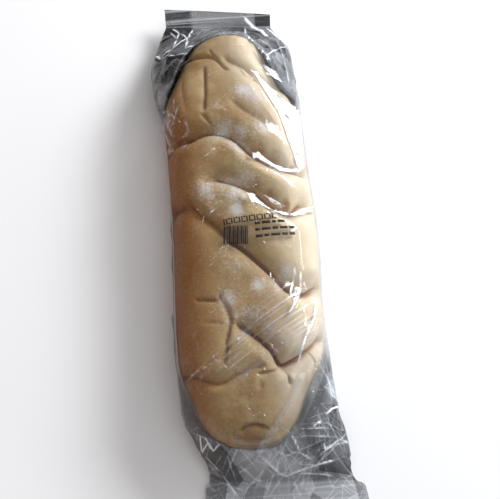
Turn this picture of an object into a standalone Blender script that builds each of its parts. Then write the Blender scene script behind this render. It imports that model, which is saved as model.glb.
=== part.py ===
"""A soft French bread loaf, slashed on the diagonal, sealed in a clear film pack.

The pack is one closed solid. Over the loaf the film lies on the crust, so the
solid has the loaf's own form there, with its slashes and folds. Beyond the
loaf's two ends it narrows to the shoulders and the flat welded seals.

Metres, +Z up. X runs across the loaf and Y along it, with the round head of the
loaf towards +Y. The pack rests on the plane Z = 0, and the origin is at the
middle of its footprint.
"""

import math

import bmesh
import bpy
import numpy as np

MM = 0.001

# Loaf, driving sizes
LOAF_HALF_WIDTH = 44.5 * MM
LOAF_RISE = 30.0 * MM
LOAF_MID_HEIGHT = 20.0 * MM
LOAF_TOP_SQUARENESS = 2.25
LOAF_TOP_FALL = 0.7

# Film pack, driving sizes
FILM_GAP = 0.8 * MM
FILM_JOIN_BLEND = 2.5 * MM
RIM_SHARPNESS = 8
CREASE_ROUNDING = 1.6 * MM
CREASE_TAPER_SHARE = 1 / 6
CREASE_RIM_SHARE = 1 / 12
LOWER_EXTRA_SQUARENESS = 0.9
ARC_TO_HALF_WIDTH = 1.32

# Where the film leaves the loaf's two ends, it is rounded off above this height
ROUNDED_ENDS = ((-145.0 * MM, -112.0 * MM), (116.0 * MM, 147.0 * MM))
ROUNDED_ABOVE = 17.0 * MM
ROUNDING_STEPS = 10
ROUNDING_FACTOR = 0.5

# Mesh
CELLS_ACROSS = 110
CELLS_ALONG = 270
TARGET_TRIANGLES = 9000
WELD = 0.02 * MM
TINY = 1e-9
FAR_BELOW = -1.0

CRUST_COLOUR = (0.60, 0.44, 0.26, 1.0)
CRUST_ROUGHNESS = 0.55

# Loaf from head to tail, in mm: place along Y, middle of the width, half width
LOAF_STATIONS = (
    (135.0, -4.5, 0.0),
    (129.0, -5.3, 18.0),
    (120.0, -6.0, 25.0),
    (107.0, -7.3, 30.0),
    (95.0, -7.5, 35.0),
    (82.0, -6.0, 40.6),
    (65.0, -4.5, 43.8),
    (30.0, -4.0, 44.2),
    (-5.0, -3.4, 44.5),
    (-45.0, -5.2, 44.5),
    (-80.0, -6.6, 43.2),
    (-101.0, -9.4, 36.5),
    (-119.0, -10.0, 26.5),
    (-128.0, -10.0, 14.5),
    (-131.5, -10.0, 0.0),
)

# Pack from the head seal to the tail seal, in mm: place along Y, middle of the
# width, half width, mid height, rise above it, drop below it, squareness of the
# section, and how far one end of the row leads the other per mm of width
PACK_STATIONS = (
    (162.5, -7.1, 36.0, 12.0, 0.7, 0.7, 2.0, -0.15),
    (151.5, -7.4, 35.6, 11.0, 0.8, 0.7, 2.0, -0.10),
    (147.0, -7.4, 37.5, 11.0, 5.5, 4.5, 1.7, -0.08),
    (138.0, -7.2, 41.6, 12.0, 13.5, 9.5, 1.7, -0.04),
    (128.0, -6.9, 45.6, 14.0, 20.5, 13.5, 1.75, 0.0),
    (116.0, -7.7, 47.2, 16.5, 25.0, 16.3, 1.9, 0.0),
    (98.0, -6.9, 46.8, 18.5, 28.0, 18.9, 2.1, 0.0),
    (78.0, -4.9, 45.5, 20.0, 30.4, 20.4, 2.25, 0.0),
    (58.0, -4.4, 45.0, 20.0, 30.8, 20.6, 2.25, 0.0),
    (30.0, -4.2, 45.2, 20.0, 30.8, 20.6, 2.25, 0.0),
    (8.0, -3.2, 45.3, 20.0, 30.8, 20.6, 2.25, 0.0),
    (-20.0, -3.9, 45.6, 20.0, 30.8, 20.6, 2.25, 0.0),
    (-60.0, -6.2, 45.4, 20.0, 30.8, 20.4, 2.25, 0.0),
    (-80.0, -6.0, 45.9, 19.5, 30.0, 20.0, 2.2, 0.0),
    (-100.0, -5.2, 45.9, 17.0, 27.0, 17.4, 2.0, 0.0),
    (-114.0, -3.9, 45.5, 14.0, 24.5, 14.2, 1.85, 0.0),
    (-124.0, 0.1, 44.3, 11.5, 21.0, 11.6, 1.75, -0.02),
    (-134.0, 2.9, 43.0, 8.2, 15.5, 8.2, 1.7, -0.05),
    (-144.0, 3.9, 41.6, 4.8, 7.0, 4.6, 1.7, -0.08),
    (-151.0, 5.0, 43.2, 2.6, 0.9, 0.8, 2.0, -0.08),
    (-154.0, 6.2, 46.8, 2.4, 0.7, 0.7, 2.0, -0.075),
    (-164.0, 6.6, 48.0, 2.0, 0.7, 0.7, 2.0, -0.06),
)

# Slashes and folds of the crust: depth, reach on the head side, reach on the tail
# side, then the line itself as points of (distance over the crust from the top
# line, place along Y), all in mm and running from left to right
CREASES = {
    "head_fold": (6.5, 7, 13, ((-38, 121), (-26, 119), (-15, 118), (-9, 112), (-3, 106), (4, 100))),
    "head_seam": (5.0, 8, 13, ((-2, 113), (6, 107), (13, 103), (20, 97), (30, 92), (46, 90))),
    "shoulder_roll": (3.0, 6, 7, ((-19, 70), (-16, 75), (-13, 85), (-11, 96), (-11, 104))),
    "first_slash": (
        8.5,
        9,
        17,
        ((-58, 49), (-44, 53), (-31, 55), (-20, 60), (-13, 56), (-4, 52), (10, 40), (22, 32), (34, 30), (58, 33)),
    ),
    "roll_tail": (3.5, 6, 7, ((-19, 71), (-16, 65), (-13, 56))),
    "second_slash": (
        7.5,
        9,
        17,
        ((-34, 26), (-10, 24), (0, 18), (18, 6), (27, 2), (36, 5), (44, 9), (58, 11)),
    ),
    "third_slash": (
        9.0,
        10,
        16,
        ((-60, 14), (-33, 10), (-28, 4), (-19, -3), (-13, -13), (-3, -19), (17, -38), (26, -46), (38, -48), (58, -42)),
    ),
    "side_fold": (4.0, 7, 9, ((-40, -46), (-29, -47), (-19, -47), (-13, -51), (-10, -61))),
    "fourth_slash": (
        9.0,
        10,
        15,
        ((-24, -60), (-13, -64), (-5, -65), (3, -72), (19, -90), (28, -88), (60, -79)),
    ),
    "lower_roll": (2.6, 6, 7, ((-15, -84), (-13, -76), (-12, -68), (-10, -61))),
    "tail_fold": (4.0, 9, 13, ((-56, -91), (-28, -94), (-16, -98), (-7, -94), (6, -93), (18, -91))),
    "tail_mouth": (2.4, 4, 8, ((-5, -123), (0, -121), (8, -122))),
}

CURVE_STEPS = 6


def eased(place, stations, column):
    """Reads one column of a station table at each place, without overshoot."""
    rows = sorted(stations)
    y = np.array([row[0] for row in rows], float)
    v = np.array([row[column] for row in rows], float)
    gap = np.diff(y)
    rise = np.diff(v) / gap
    slope = np.zeros_like(v)
    slope[0], slope[-1] = rise[0], rise[-1]
    turning = rise[:-1] * rise[1:] <= 0
    near, far = 2 * gap[1:] + gap[:-1], gap[1:] + 2 * gap[:-1]
    with np.errstate(divide="ignore", invalid="ignore"):
        mean = (near + far) / (near / rise[:-1] + far / rise[1:])
    slope[1:-1] = np.where(turning, 0.0, mean)
    i = np.clip(np.searchsorted(y, place) - 1, 0, len(y) - 2)
    t = np.clip((place - y[i]) / gap[i], 0.0, 1.0)
    return (
        (1 + 2 * t) * (1 - t) ** 2 * v[i]
        + t * (1 - t) ** 2 * gap[i] * slope[i]
        + t * t * (3 - 2 * t) * v[i + 1]
        + t * t * (t - 1) * gap[i] * slope[i + 1]
    )


def smooth_line(points):
    """A curve through the points, cut into short straight steps, in metres."""
    p = np.array(points, float) * MM
    p = np.vstack([2 * p[0] - p[1], p, 2 * p[-1] - p[-2]])
    line = []
    for a, b, c, d in zip(p, p[1:], p[2:], p[3:]):
        for t in np.arange(CURVE_STEPS) / CURVE_STEPS:
            line.append(
                0.5 * (2 * b + (c - a) * t + (2 * a - 5 * b + 4 * c - d) * t**2 + (3 * b - a - 3 * c + d) * t**3)
            )
    return np.array(line + [p[-2]])


def loaf_section(y):
    """Middle, half width and rise above mid height of the loaf at each place along Y."""
    squared = [(row[0] * MM, row[1] * MM, (row[2] * MM) ** 2) for row in LOAF_STATIONS]
    middle = eased(y, squared, 1)
    half = np.sqrt(np.maximum(eased(y, squared, 2), 0.0))
    rise = LOAF_RISE * (half / LOAF_HALF_WIDTH) ** LOAF_TOP_FALL
    return middle, half, rise


def crust_height(x, y):
    """Height of the loaf's smooth top over the point, or far below it beside the loaf."""
    middle, half, rise = loaf_section(y)
    share = np.abs(x - middle) / np.maximum(half, TINY)
    dome = (1 - np.minimum(share, 1.0) ** LOAF_TOP_SQUARENESS) ** (1 / LOAF_TOP_SQUARENESS)
    return np.where(share < 1.0, LOAF_MID_HEIGHT + rise * dome, FAR_BELOW)


def crease_depth(s, y):
    """How deep the slashes and folds run at each point of the crust, (s, y) measured over it."""
    deepest = np.zeros_like(s)
    for depth, head_reach, tail_reach, points in CREASES.values():
        line = smooth_line(points)
        nearest = np.full(s.shape, np.inf)
        side = np.ones(s.shape)
        along = np.zeros(s.shape)
        for k, (a, b) in enumerate(zip(line, line[1:])):
            run = b - a
            t = ((s - a[0]) * run[0] + (y - a[1]) * run[1]) / (run @ run)
            t = np.clip(t, 0.0, 1.0)
            ds, dy = s - a[0] - t * run[0], y - a[1] - t * run[1]
            distance = np.hypot(ds, dy)
            closer = distance < nearest
            nearest = np.where(closer, distance, nearest)
            side = np.where(closer, np.sign(run[0] * dy - run[1] * ds), side)
            along = np.where(closer, (k + t) / (len(line) - 1), along)
        reach = np.where(side >= 0, head_reach, tail_reach) * MM
        rounded = np.hypot(nearest, CREASE_ROUNDING) - CREASE_ROUNDING / 2
        share = np.clip(rounded / reach, 0.0, 1.0)
        taper = np.clip(np.minimum(along, 1 - along) / CREASE_TAPER_SHARE, 0.0, 1.0)
        deepest = np.maximum(deepest, depth * MM * taper * (1 - share) ** 2)
    return deepest


def pillow_of(edge_share, rise, squareness):
    """How far one film of the pack stands off the mid height, at each share of its half width."""
    return rise * (1 - edge_share**squareness) ** (1 / squareness)


def laid_over(film, crust):
    """The film lifted to lie over the crust, where the crust is the higher, with a soft join."""
    over = (crust + FILM_GAP - film) / FILM_JOIN_BLEND
    return film + FILM_JOIN_BLEND * np.logaddexp(0.0, over)


def pack_points(across, along, upper):
    """Shapes the flat box to the pack.

    across runs from -1 to 1 over each film, along from 0 at the tail to 1 at the
    head, and upper says which of the points are on the upper film.
    """
    first, last = PACK_STATIONS[-1][0], PACK_STATIONS[0][0]
    station = first + (last - first) * along
    middle, half, mid, rise, drop, squareness, lead = (
        eased(station, PACK_STATIONS, column) for column in range(1, 8)
    )
    share = np.sin(np.abs(across) * math.pi / 2) ** (2 / squareness)
    x = (middle + np.sign(across) * half * share) * MM
    y = station * MM + lead * (x - middle * MM)
    mid, rise, drop = mid * MM, rise * MM, drop * MM

    under = ~upper
    soft = squareness[under] + LOWER_EXTRA_SQUARENESS
    z = np.empty_like(x)
    z[under] = np.maximum(mid[under] - pillow_of(share[under], drop[under], soft), 0.0)

    x_up, y_up, share_up = x[upper], y[upper], share[upper]
    film = mid[upper] + pillow_of(share_up, rise[upper], squareness[upper])
    rim = 1 - share_up**RIM_SHARPNESS
    film = film + (laid_over(film, crust_height(x_up, y_up)) - film) * rim
    over_crust = across[upper] * ARC_TO_HALF_WIDTH * half[upper] * MM
    held = np.clip((1 - np.abs(across[upper])) / CREASE_RIM_SHARE, 0.0, 1.0)
    z[upper] = np.maximum(film - crease_depth(over_crust, y_up) * held, mid[upper])
    return np.stack([x, y, z], axis=1)


def flat_box(bm):
    """A flat box, one unit deep, cut into a regular net of cells above and below."""
    bmesh.ops.create_grid(bm, x_segments=CELLS_ACROSS, y_segments=CELLS_ALONG, size=1.0)
    above = bm.faces[:]
    copied = bmesh.ops.duplicate(bm, geom=above)["geom"]
    below = [part for part in copied if isinstance(part, bmesh.types.BMFace)]
    bmesh.ops.reverse_faces(bm, faces=below)
    lower = {corner for face in below for corner in face.verts}
    for corner in lower:
        corner.co.z = -1.0
    rims = [edge for edge in bm.edges if edge.is_boundary]
    bmesh.ops.bridge_loops(bm, edges=rims)


def round_ends(bm):
    """Rounds the film off where it leaves the two ends of the loaf."""
    free = [
        corner
        for corner in bm.verts
        if corner.co.z > ROUNDED_ABOVE and any(low < corner.co.y < high for low, high in ROUNDED_ENDS)
    ]
    for _ in range(ROUNDING_STEPS):
        bmesh.ops.smooth_vert(
            bm, verts=free, factor=ROUNDING_FACTOR, use_axis_x=True, use_axis_y=True, use_axis_z=True
        )


def pack_mesh():
    """The pack's closed mesh: a net on each film, shaped to the pack and joined at its rim."""
    bm = bmesh.new()
    flat_box(bm)
    place = np.array([corner.co[:] for corner in bm.verts])
    shaped = pack_points(place[:, 0], (place[:, 1] + 1) / 2, place[:, 2] > -0.5)
    for corner, point in zip(bm.verts, shaped):
        corner.co = point
    bmesh.ops.remove_doubles(bm, verts=bm.verts, dist=WELD)
    bmesh.ops.dissolve_degenerate(bm, edges=bm.edges, dist=WELD)
    round_ends(bm)
    bmesh.ops.triangulate(bm, faces=bm.faces)
    bmesh.ops.recalc_face_normals(bm, faces=bm.faces)
    mesh = bpy.data.meshes.new("bread_pack")
    bm.to_mesh(mesh)
    bm.free()
    return mesh


def centre_on_footprint(mesh):
    """Moves the mesh so that the origin is at the middle of its footprint, on the resting plane."""
    corners = np.array([corner.co[:] for corner in mesh.vertices])
    low, high = corners.min(axis=0), corners.max(axis=0)
    middle = (low + high) / 2
    for corner in mesh.vertices:
        corner.co.x -= middle[0]
        corner.co.y -= middle[1]
        corner.co.z -= low[2]


def crust_material():
    """The pale crust, seen through the clear film."""
    material = bpy.data.materials.new("crust_in_film")
    material.use_nodes = True
    shader = material.node_tree.nodes["Principled BSDF"]
    shader.inputs["Base Color"].default_value = CRUST_COLOUR
    shader.inputs["Roughness"].default_value = CRUST_ROUGHNESS
    shader.inputs["Metallic"].default_value = 0.0
    return material


def build_pack(collection):
    """The finished pack: fine mesh, thinned where it is nearly flat."""
    mesh = pack_mesh()
    centre_on_footprint(mesh)
    pack = bpy.data.objects.new("bread_pack", mesh)
    collection.objects.link(pack)
    thin = pack.modifiers.new("thin", "DECIMATE")
    thin.ratio = TARGET_TRIANGLES / len(mesh.polygons)
    mesh.materials.append(crust_material())
    mesh.shade_smooth()
    return pack


def main():
    for old in list(bpy.data.objects):
        bpy.data.objects.remove(old)
    collection = bpy.data.collections.new("french_bread_pack")
    bpy.context.scene.collection.children.link(collection)
    build_pack(collection)


main()
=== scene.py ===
"""Looks of a soft French loaf in a clear film pack, seen from above.

The loaf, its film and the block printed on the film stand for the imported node
bread_pack. Driving sizes are in millimetres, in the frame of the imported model:
X across the loaf, Y along it towards its round head, Z up. Meshes are in metres.
"""

import logging
import math
from collections.abc import Iterator
from dataclasses import dataclass, field
from enum import Enum

import bpy
import numpy as np
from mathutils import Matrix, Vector, noise
from mathutils.bvhtree import BVHTree


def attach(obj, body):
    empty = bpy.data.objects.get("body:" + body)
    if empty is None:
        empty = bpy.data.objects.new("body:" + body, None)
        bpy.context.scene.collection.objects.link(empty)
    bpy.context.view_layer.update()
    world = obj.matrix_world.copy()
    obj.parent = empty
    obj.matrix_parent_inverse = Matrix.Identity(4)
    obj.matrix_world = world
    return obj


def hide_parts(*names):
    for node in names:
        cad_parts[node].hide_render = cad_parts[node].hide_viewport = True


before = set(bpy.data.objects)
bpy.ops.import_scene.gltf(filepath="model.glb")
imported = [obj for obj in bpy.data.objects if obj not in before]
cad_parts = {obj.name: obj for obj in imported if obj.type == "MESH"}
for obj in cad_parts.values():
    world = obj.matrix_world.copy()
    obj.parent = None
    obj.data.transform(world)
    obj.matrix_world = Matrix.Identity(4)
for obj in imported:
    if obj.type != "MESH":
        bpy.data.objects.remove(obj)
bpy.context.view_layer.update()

MM = 0.001
PACK_NODE = "bread_pack"
BODY = "root"

log = logging.getLogger("bread_pack")

Array = np.ndarray
Line = tuple[tuple[float, float], ...]
Colour = tuple[float, float, float, float]
Piece = bpy.types.Object
Socket = bpy.types.NodeSocket


def smoothstep(low: float, high: float, value: Array) -> Array:
    """Runs softly from 0 at low to 1 at high.

    Args:
        low: The value where the result leaves 0.
        high: The value where the result reaches 1.
        value: The values to read.

    Returns:
        The eased share, from 0 to 1, for each value.
    """
    t = np.clip((value - low) / (high - low), 0.0, 1.0)
    return t * t * (3 - 2 * t)


def smooth_noise(points: Array, size: float, seed: int) -> Array:
    """Reads smooth noise at each point.

    Args:
        points: The places, one row each, in mm.
        size: The width of one swell of the noise, in mm.
        seed: Which of the endless noises to read.

    Returns:
        One value for each point, from about -1 to 1.
    """
    shift = np.array([17.3, 5.9, 11.1]) * seed
    return np.array([noise.noise(Vector(p)) for p in points / size + shift])


class Stations:
    """A table of values along the loaf or the pack, read smoothly between its rows."""

    def __init__(self, rows: tuple[tuple[float, ...], ...]) -> None:
        """Sorts the rows by their place.

        Args:
            rows: One row for each station: its place, then its values.
        """
        table = np.array(sorted(rows), float)
        self.places: Array = table[:, 0]
        self.values: Array = table[:, 1:]
        self.gaps: Array = np.diff(self.places)
        self.slopes: Array = self._slopes()

    def _slopes(self) -> Array:
        """The slope of each value at each station, without overshoot between them."""
        rise = np.diff(self.values, axis=0) / self.gaps[:, None]
        near = (2 * self.gaps[1:] + self.gaps[:-1])[:, None]
        far = (self.gaps[1:] + 2 * self.gaps[:-1])[:, None]
        with np.errstate(divide="ignore", invalid="ignore"):
            mean = (near + far) / (near / rise[:-1] + far / rise[1:])
        slopes = np.empty_like(self.values)
        slopes[0], slopes[-1] = rise[0], rise[-1]
        slopes[1:-1] = np.where(rise[:-1] * rise[1:] <= 0, 0.0, mean)
        return slopes

    def read(self, place: Array) -> Array:
        """Reads all the values at each place.

        Args:
            place: Places along the table, of any shape that is one row long.

        Returns:
            An array with one row for each value and one column for each place.
        """
        i = np.clip(np.searchsorted(self.places, place) - 1, 0, len(self.places) - 2)
        gap = self.gaps[i][:, None]
        t = np.clip((place - self.places[i]) / self.gaps[i], 0.0, 1.0)[:, None]
        held = (1 + 2 * t) * (1 - t) ** 2 * self.values[i] + t * t * (3 - 2 * t) * self.values[i + 1]
        bent = t * (1 - t) ** 2 * self.slopes[i] + t * t * (t - 1) * self.slopes[i + 1]
        return (held + gap * bent).T


@dataclass(frozen=True)
class LoafForm:
    """The smooth form of the loaf before it is slashed, in mm.

    Each row of the stations gives a place along Y, then the middle and the half
    width there.
    """

    half_width: float = 44.5
    mid_height: float = 20.0
    rise: float = 30.0
    drop: float = 18.5
    top_squareness: float = 2.25
    base_squareness: float = 3.2
    top_fall: float = 0.7
    base_fall: float = 0.35
    head_end: float = 135.0
    tail_end: float = -132.0
    stations: Stations = field(
        default_factory=lambda: Stations(
            (
                (135.0, -4.5, 0.0),
                (129.0, -5.3, 18.0),
                (120.0, -6.0, 25.0),
                (107.0, -7.3, 30.0),
                (95.0, -7.5, 35.0),
                (82.0, -6.0, 40.6),
                (65.0, -4.5, 43.8),
                (30.0, -4.0, 44.2),
                (-5.0, -3.4, 44.5),
                (-45.0, -5.2, 44.5),
                (-78.0, -6.6, 43.3),
                (-88.5, -8.3, 40.6),
                (-101.5, -9.5, 34.8),
                (-115.5, -10.5, 28.5),
                (-125.0, -10.2, 21.0),
                (-129.8, -9.0, 13.5),
                (-132.0, -8.8, 0.0),
            )
        )
    )

    def section(self, y: Array) -> tuple[Array, Array]:
        """Middle and half width of the loaf at each place along Y."""
        squared = Stations(
            tuple((p, v[0], v[1] ** 2) for p, v in zip(self.stations.places, self.stations.values))
        )
        middle, half_squared = squared.read(y)
        return middle, np.sqrt(np.maximum(half_squared, 0.0))

    def outline(self, angle: Array, half: Array) -> tuple[Array, Array]:
        """Place on the section's rim, from its middle.

        Args:
            angle: Angle round the section, from +X over the top.
            half: Half width of the section.

        Returns:
            Distance across, and height above mid height.
        """
        above = np.sin(angle) >= 0
        power = 2 / np.where(above, self.top_squareness, self.base_squareness)
        width_share = half / self.half_width
        rise = self.rise * width_share**self.top_fall
        drop = self.drop * width_share**self.base_fall
        tall = np.where(above, rise, drop)
        across = half * np.sign(np.cos(angle)) * np.abs(np.cos(angle)) ** power
        up = tall * np.sign(np.sin(angle)) * np.abs(np.sin(angle)) ** power
        return across, up

    def over_crust(self, angle: Array, half: Array, steps: int = 24) -> Array:
        """Distance round the section from its top line, negative on the left."""
        span = np.linspace(0.0, 1.0, steps)[:, None]
        path = math.pi / 2 + (angle - math.pi / 2) * span
        across, up = self.outline(path, np.broadcast_to(half, path.shape))
        length = np.hypot(np.diff(across, axis=0), np.diff(up, axis=0)).sum(axis=0)
        return np.where(angle < math.pi / 2, length, -length)

    def height(self, x: Array, y: Array) -> Array:
        """Height of the smooth top over each point, or far below it beside the loaf."""
        middle, half = self.section(y)
        share = np.abs(x - middle) / np.maximum(half, 1e-6)
        dome = (1 - np.minimum(share, 1.0) ** self.top_squareness) ** (1 / self.top_squareness)
        tall = self.rise * (half / self.half_width) ** self.top_fall
        return np.where(share < 1.0, self.mid_height + tall * dome, -1000.0)


@dataclass(frozen=True)
class Crease:
    """A slash or fold of the crust, in mm.

    Its line runs from left to right through points of distance over the crust
    from the top line and place along Y. It reaches out to its head side and to
    its tail side, is flat on its floor and shallow at its ends. It also says how
    dark the painted shade along its line is, how floury it looks, and how much
    the film is drawn into it.
    """

    depth: float
    head_reach: float
    tail_reach: float
    points: Line
    # dark: strength of the painted shade along the crease line
    dark: float = 0.3
    floor: float = 0.0
    flour: float = 0.0
    steps: int = 6
    ends: float = 7.0
    draws: float = 1.0

    def line(self) -> Array:
        """The smooth line through the points, cut into short straight steps."""
        p = np.array(self.points, float)
        p = np.vstack([2 * p[0] - p[1], p, 2 * p[-1] - p[-2]])
        t = (np.arange(self.steps) / self.steps)[:, None]
        parts = []
        for a, b, c, d in zip(p, p[1:], p[2:], p[3:]):
            bend = 2 * a - 5 * b + 4 * c - d
            twist = 3 * b - a - 3 * c + d
            parts.append(0.5 * (2 * b + (c - a) * t + bend * t**2 + twist * t**3))
        return np.vstack([*parts, p[-2:-1]])

    def measure(self, s: Array, y: Array, reach: float) -> tuple[Array, Array, Array, Array]:
        """Finds the points near the line and measures them against it.

        Args:
            s: Distance over the crust from the top line.
            y: Place along Y.
            reach: How near a point has to be to count.

        Returns:
            The indices of the near points, their distance, their side (1 towards
            the head), and how much of the crease's full strength its taper leaves.
        """
        line = self.line()
        low, high = line.min(axis=0) - reach, line.max(axis=0) + reach
        near = np.flatnonzero((s > low[0]) & (s < high[0]) & (y > low[1]) & (y < high[1]))
        s, y = s[near], y[near]
        best = np.full(len(near), np.inf)
        side = np.ones(len(near))
        place = np.zeros(len(near))
        lengths = np.hypot(*np.diff(line, axis=0).T)
        starts = np.concatenate([[0.0], np.cumsum(lengths)])
        for k, (a, b) in enumerate(zip(line, line[1:])):
            run = b - a
            t = np.clip(((s - a[0]) * run[0] + (y - a[1]) * run[1]) / (run @ run), 0.0, 1.0)
            ds, dy = s - a[0] - t * run[0], y - a[1] - t * run[1]
            distance = np.hypot(ds, dy)
            closer = distance < best
            best = np.where(closer, distance, best)
            side = np.where(closer, np.sign(run[0] * dy - run[1] * ds), side)
            place = np.where(closer, starts[k] + t * lengths[k], place)
        taper = smoothstep(0.0, self.ends, np.minimum(place, starts[-1] - place) + 1.0)
        return near, best, side, taper


SLASHES: dict[str, Crease] = {
    "head_fold": Crease(
        3.6, 4, 7, ((-33, 119), (-24, 116), (-16, 114), (-8, 112), (-3, 108), (1, 102), (5, 99)), 0.4
    ),
    "head_seam": Crease(
        4.5, 8, 11, ((-1, 112), (6, 107), (13, 103), (20, 97), (30, 92), (46, 90)), 0.15
    ),
    "head_flap": Crease(1.6, 2, 4, ((-9, 118), (-7, 114), (-3, 110)), ends=3.0),
    "shoulder_roll": Crease(
        3.4, 6, 2.5, ((-17, 70), (-16, 76), (-13.5, 86), (-12, 96), (-12, 105)), 0.7, ends=5.0
    ),
    "shoulder_valley": Crease(1.1, 10, 8, ((-28, 68), (-29, 84), (-28, 104)), 0.0, ends=16.0),
    "first_slash": Crease(
        10.0,
        17,
        9,
        (
            *((-58, 52), (-43, 56), (-31, 55), (-20, 57), (-11, 56), (-1, 51)),
            *((8, 41), (15, 36), (23, 32), (33, 30), (58, 31)),
        ),
        0.95,
        flour=0.8,
    ),
    "roll_tail": Crease(4.2, 6, 6, ((-20, 71), (-16, 65), (-11, 58), (-8, 54)), 0.5),
    "roll_lip": Crease(2.6, 3, 5, ((-40, 56), (-30, 55), (-26, 56), (-20, 58)), 0.5),
    "cheek_hollow": Crease(3.0, 11, 12, ((0, 79), (8, 69), (17, 62), (25, 53)), 0.0),
    "second_slash": Crease(
        10.0,
        17,
        9,
        (
            *((-26, 24), (-17, 26), (-9, 24), (0, 20), (8, 15), (16, 8)),
            *((25, 2), (31, 1), (38, 6), (44, 9), (58, 11)),
        ),
        0.95,
        flour=0.9,
        ends=16.0,
    ),
    "side_slash": Crease(
        6.5, 8, 13, ((-60, 14), (-41, 12), (-33, 11), (-28, 5), (-19, -3), (-10, -14)), 0.6
    ),
    "third_slash": Crease(
        9.5,
        14,
        10,
        ((-14, -12), (-3, -19), (17, -38), (26, -46), (38, -48), (58, -42)),
        0.8,
        floor=0.6,
        flour=0.3,
        draws=0.4,
    ),
    "side_fold": Crease(2.4, 1.8, 4.5, ((-33, -46), (-24, -48), (-18, -49), (-16, -45)), 0.7, ends=4.0),
    "lower_roll": Crease(
        4.0,
        6,
        2.5,
        ((-16, -88), (-14, -78), (-14, -73), (-12, -66), (-11, -61), (-13, -54), (-17, -47)),
        0.6,
    ),
    "roll_line": Crease(1.0, 2, 3, ((-28, -61), (-20, -62), (-12, -65)), 0.25, ends=4.0),
    "fourth_slash": Crease(
        10.0,
        14,
        9,
        (
            *((-10, -63), (-5, -66), (5, -74), (13, -82), (19, -90)),
            *((26, -89), (36, -85), (49, -77), (58, -74)),
        ),
        0.9,
        floor=0.4,
        flour=0.35,
        draws=0.6,
    ),
    "tail_fold": Crease(
        4.2,
        9,
        5,
        ((-56, -89), (-38, -91), (-30, -94), (-18, -97), (-11, -95), (0, -91), (10, -89)),
        0.4,
    ),
    "short_fold": Crease(3.0, 3, 6, ((3, -93), (10, -93), (18, -91)), 0.6, ends=4.0),
    "tail_nick": Crease(3.0, 3, 4, ((18, -90), (22, -94), (24, -101)), 0.6, ends=3.0),
    "tail_notch": Crease(1.6, 3, 3, ((5, -95), (6, -102)), 0.2, ends=3.0),
    "ear_fold": Crease(2.6, 2, 4, ((40, -81), (43, -86), (46, -91)), 0.6, ends=3.0),
    "tail_mouth": Crease(3.0, 2, 7, ((-8, -124), (-3, -121), (4, -121), (10, -124)), 0.45, ends=4.0),
}


@dataclass(frozen=True)
class Facet:
    """A flat stretch of taut film, which presses the crust flat too, in mm.

    Its outline is convex, with its corners in turn round it, and its plane
    falls by the slope along X and Y from the anchor.
    """

    corners: Line
    anchor: tuple[float, float, float]
    slope: tuple[float, float]
    border: float = 1.6

    def cover(self, x: Array, y: Array) -> Array:
        """How much of the facet covers each point, soft at its border."""
        inside = np.full(x.shape, np.inf)
        for (ax, ay), (bx, by) in zip(self.corners, self.corners[1:] + self.corners[:1]):
            run = math.hypot(bx - ax, by - ay)
            inside = np.minimum(inside, ((bx - ax) * (y - ay) - (by - ay) * (x - ax)) / run)
        return smoothstep(0.0, self.border, inside)

    def height(self, x: Array, y: Array) -> Array:
        """Height of the facet's plane over each point."""
        x0, y0, z0 = self.anchor
        return z0 + self.slope[0] * (x - x0) + self.slope[1] * (y - y0)


SHOULDER_PLANE = (8.6, 102.7, 45.6), (-0.47, -0.06)
FIRST_SLASH_PLANE = (8, 38.5, 49.1), (-0.47, -0.10)
SECOND_SLASH_TOP_PLANE = (4, 9.5, 50.4), (-0.46, -0.14)
SECOND_SLASH_PLANE = (20, 1.5, 45.0), (-0.47, -0.14)
FACETS: tuple[Facet, ...] = (
    Facet(((5.5, 105.4), (17.1, 79.7), (23.6, 66), (39.5, 66), (39.5, 73.5)), *SHOULDER_PLANE, 1.2),
    Facet(
        ((22.6, 70), (28, 46.5), (32.2, 29), (37.5, 29), (39, 45), (39.5, 62), (39.5, 70)),
        *SHOULDER_PLANE,
        1.2,
    ),
    Facet(
        (
            *((3, 37), (9, 32.8), (15, 29), (20.8, 25.8), (23, 26.5)),
            *((22, 33), (14.5, 38), (9.5, 41.2), (4, 41.6)),
        ),
        *FIRST_SLASH_PLANE,
    ),
    Facet(((19, 27), (20.8, 25.8), (28, 26), (37, 29), (36, 30.5), (18, 35)), *FIRST_SLASH_PLANE, 1.2),
    Facet(
        (
            *((-3.2, 13.6), (-1.2, 10.4), (2, 5.8), (8, 2.6), (15, -0.6)),
            *((16, 4.2), (9.8, 9.6), (4.2, 14), (-2.4, 15.6)),
        ),
        *SECOND_SLASH_TOP_PLANE,
    ),
    Facet(
        ((12.5, 0.2), (19.2, -2.9), (26, -2.9), (29, -1.2), (27, 3.2), (20, 4.3), (13.5, 5)),
        *SECOND_SLASH_PLANE,
        1.4,
    ),
    Facet(
        ((25, -2.6), (31.8, -0.3), (41, 5), (40.5, 10.2), (31.8, 6.4), (24.5, 3)),
        *SECOND_SLASH_PLANE,
        1.4,
    ),
)


@dataclass(frozen=True)
class Spot:
    """A soft round patch on the crust, in mm over the crust and along Y."""

    s: float
    y: float
    radius: float
    strength: float

    def reading(self, s: Array, y: Array) -> Array:
        """Strength of the patch at each point."""
        far = ((s - self.s) ** 2 + (y - self.y) ** 2) / self.radius**2
        return self.strength * np.exp(-far)


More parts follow.
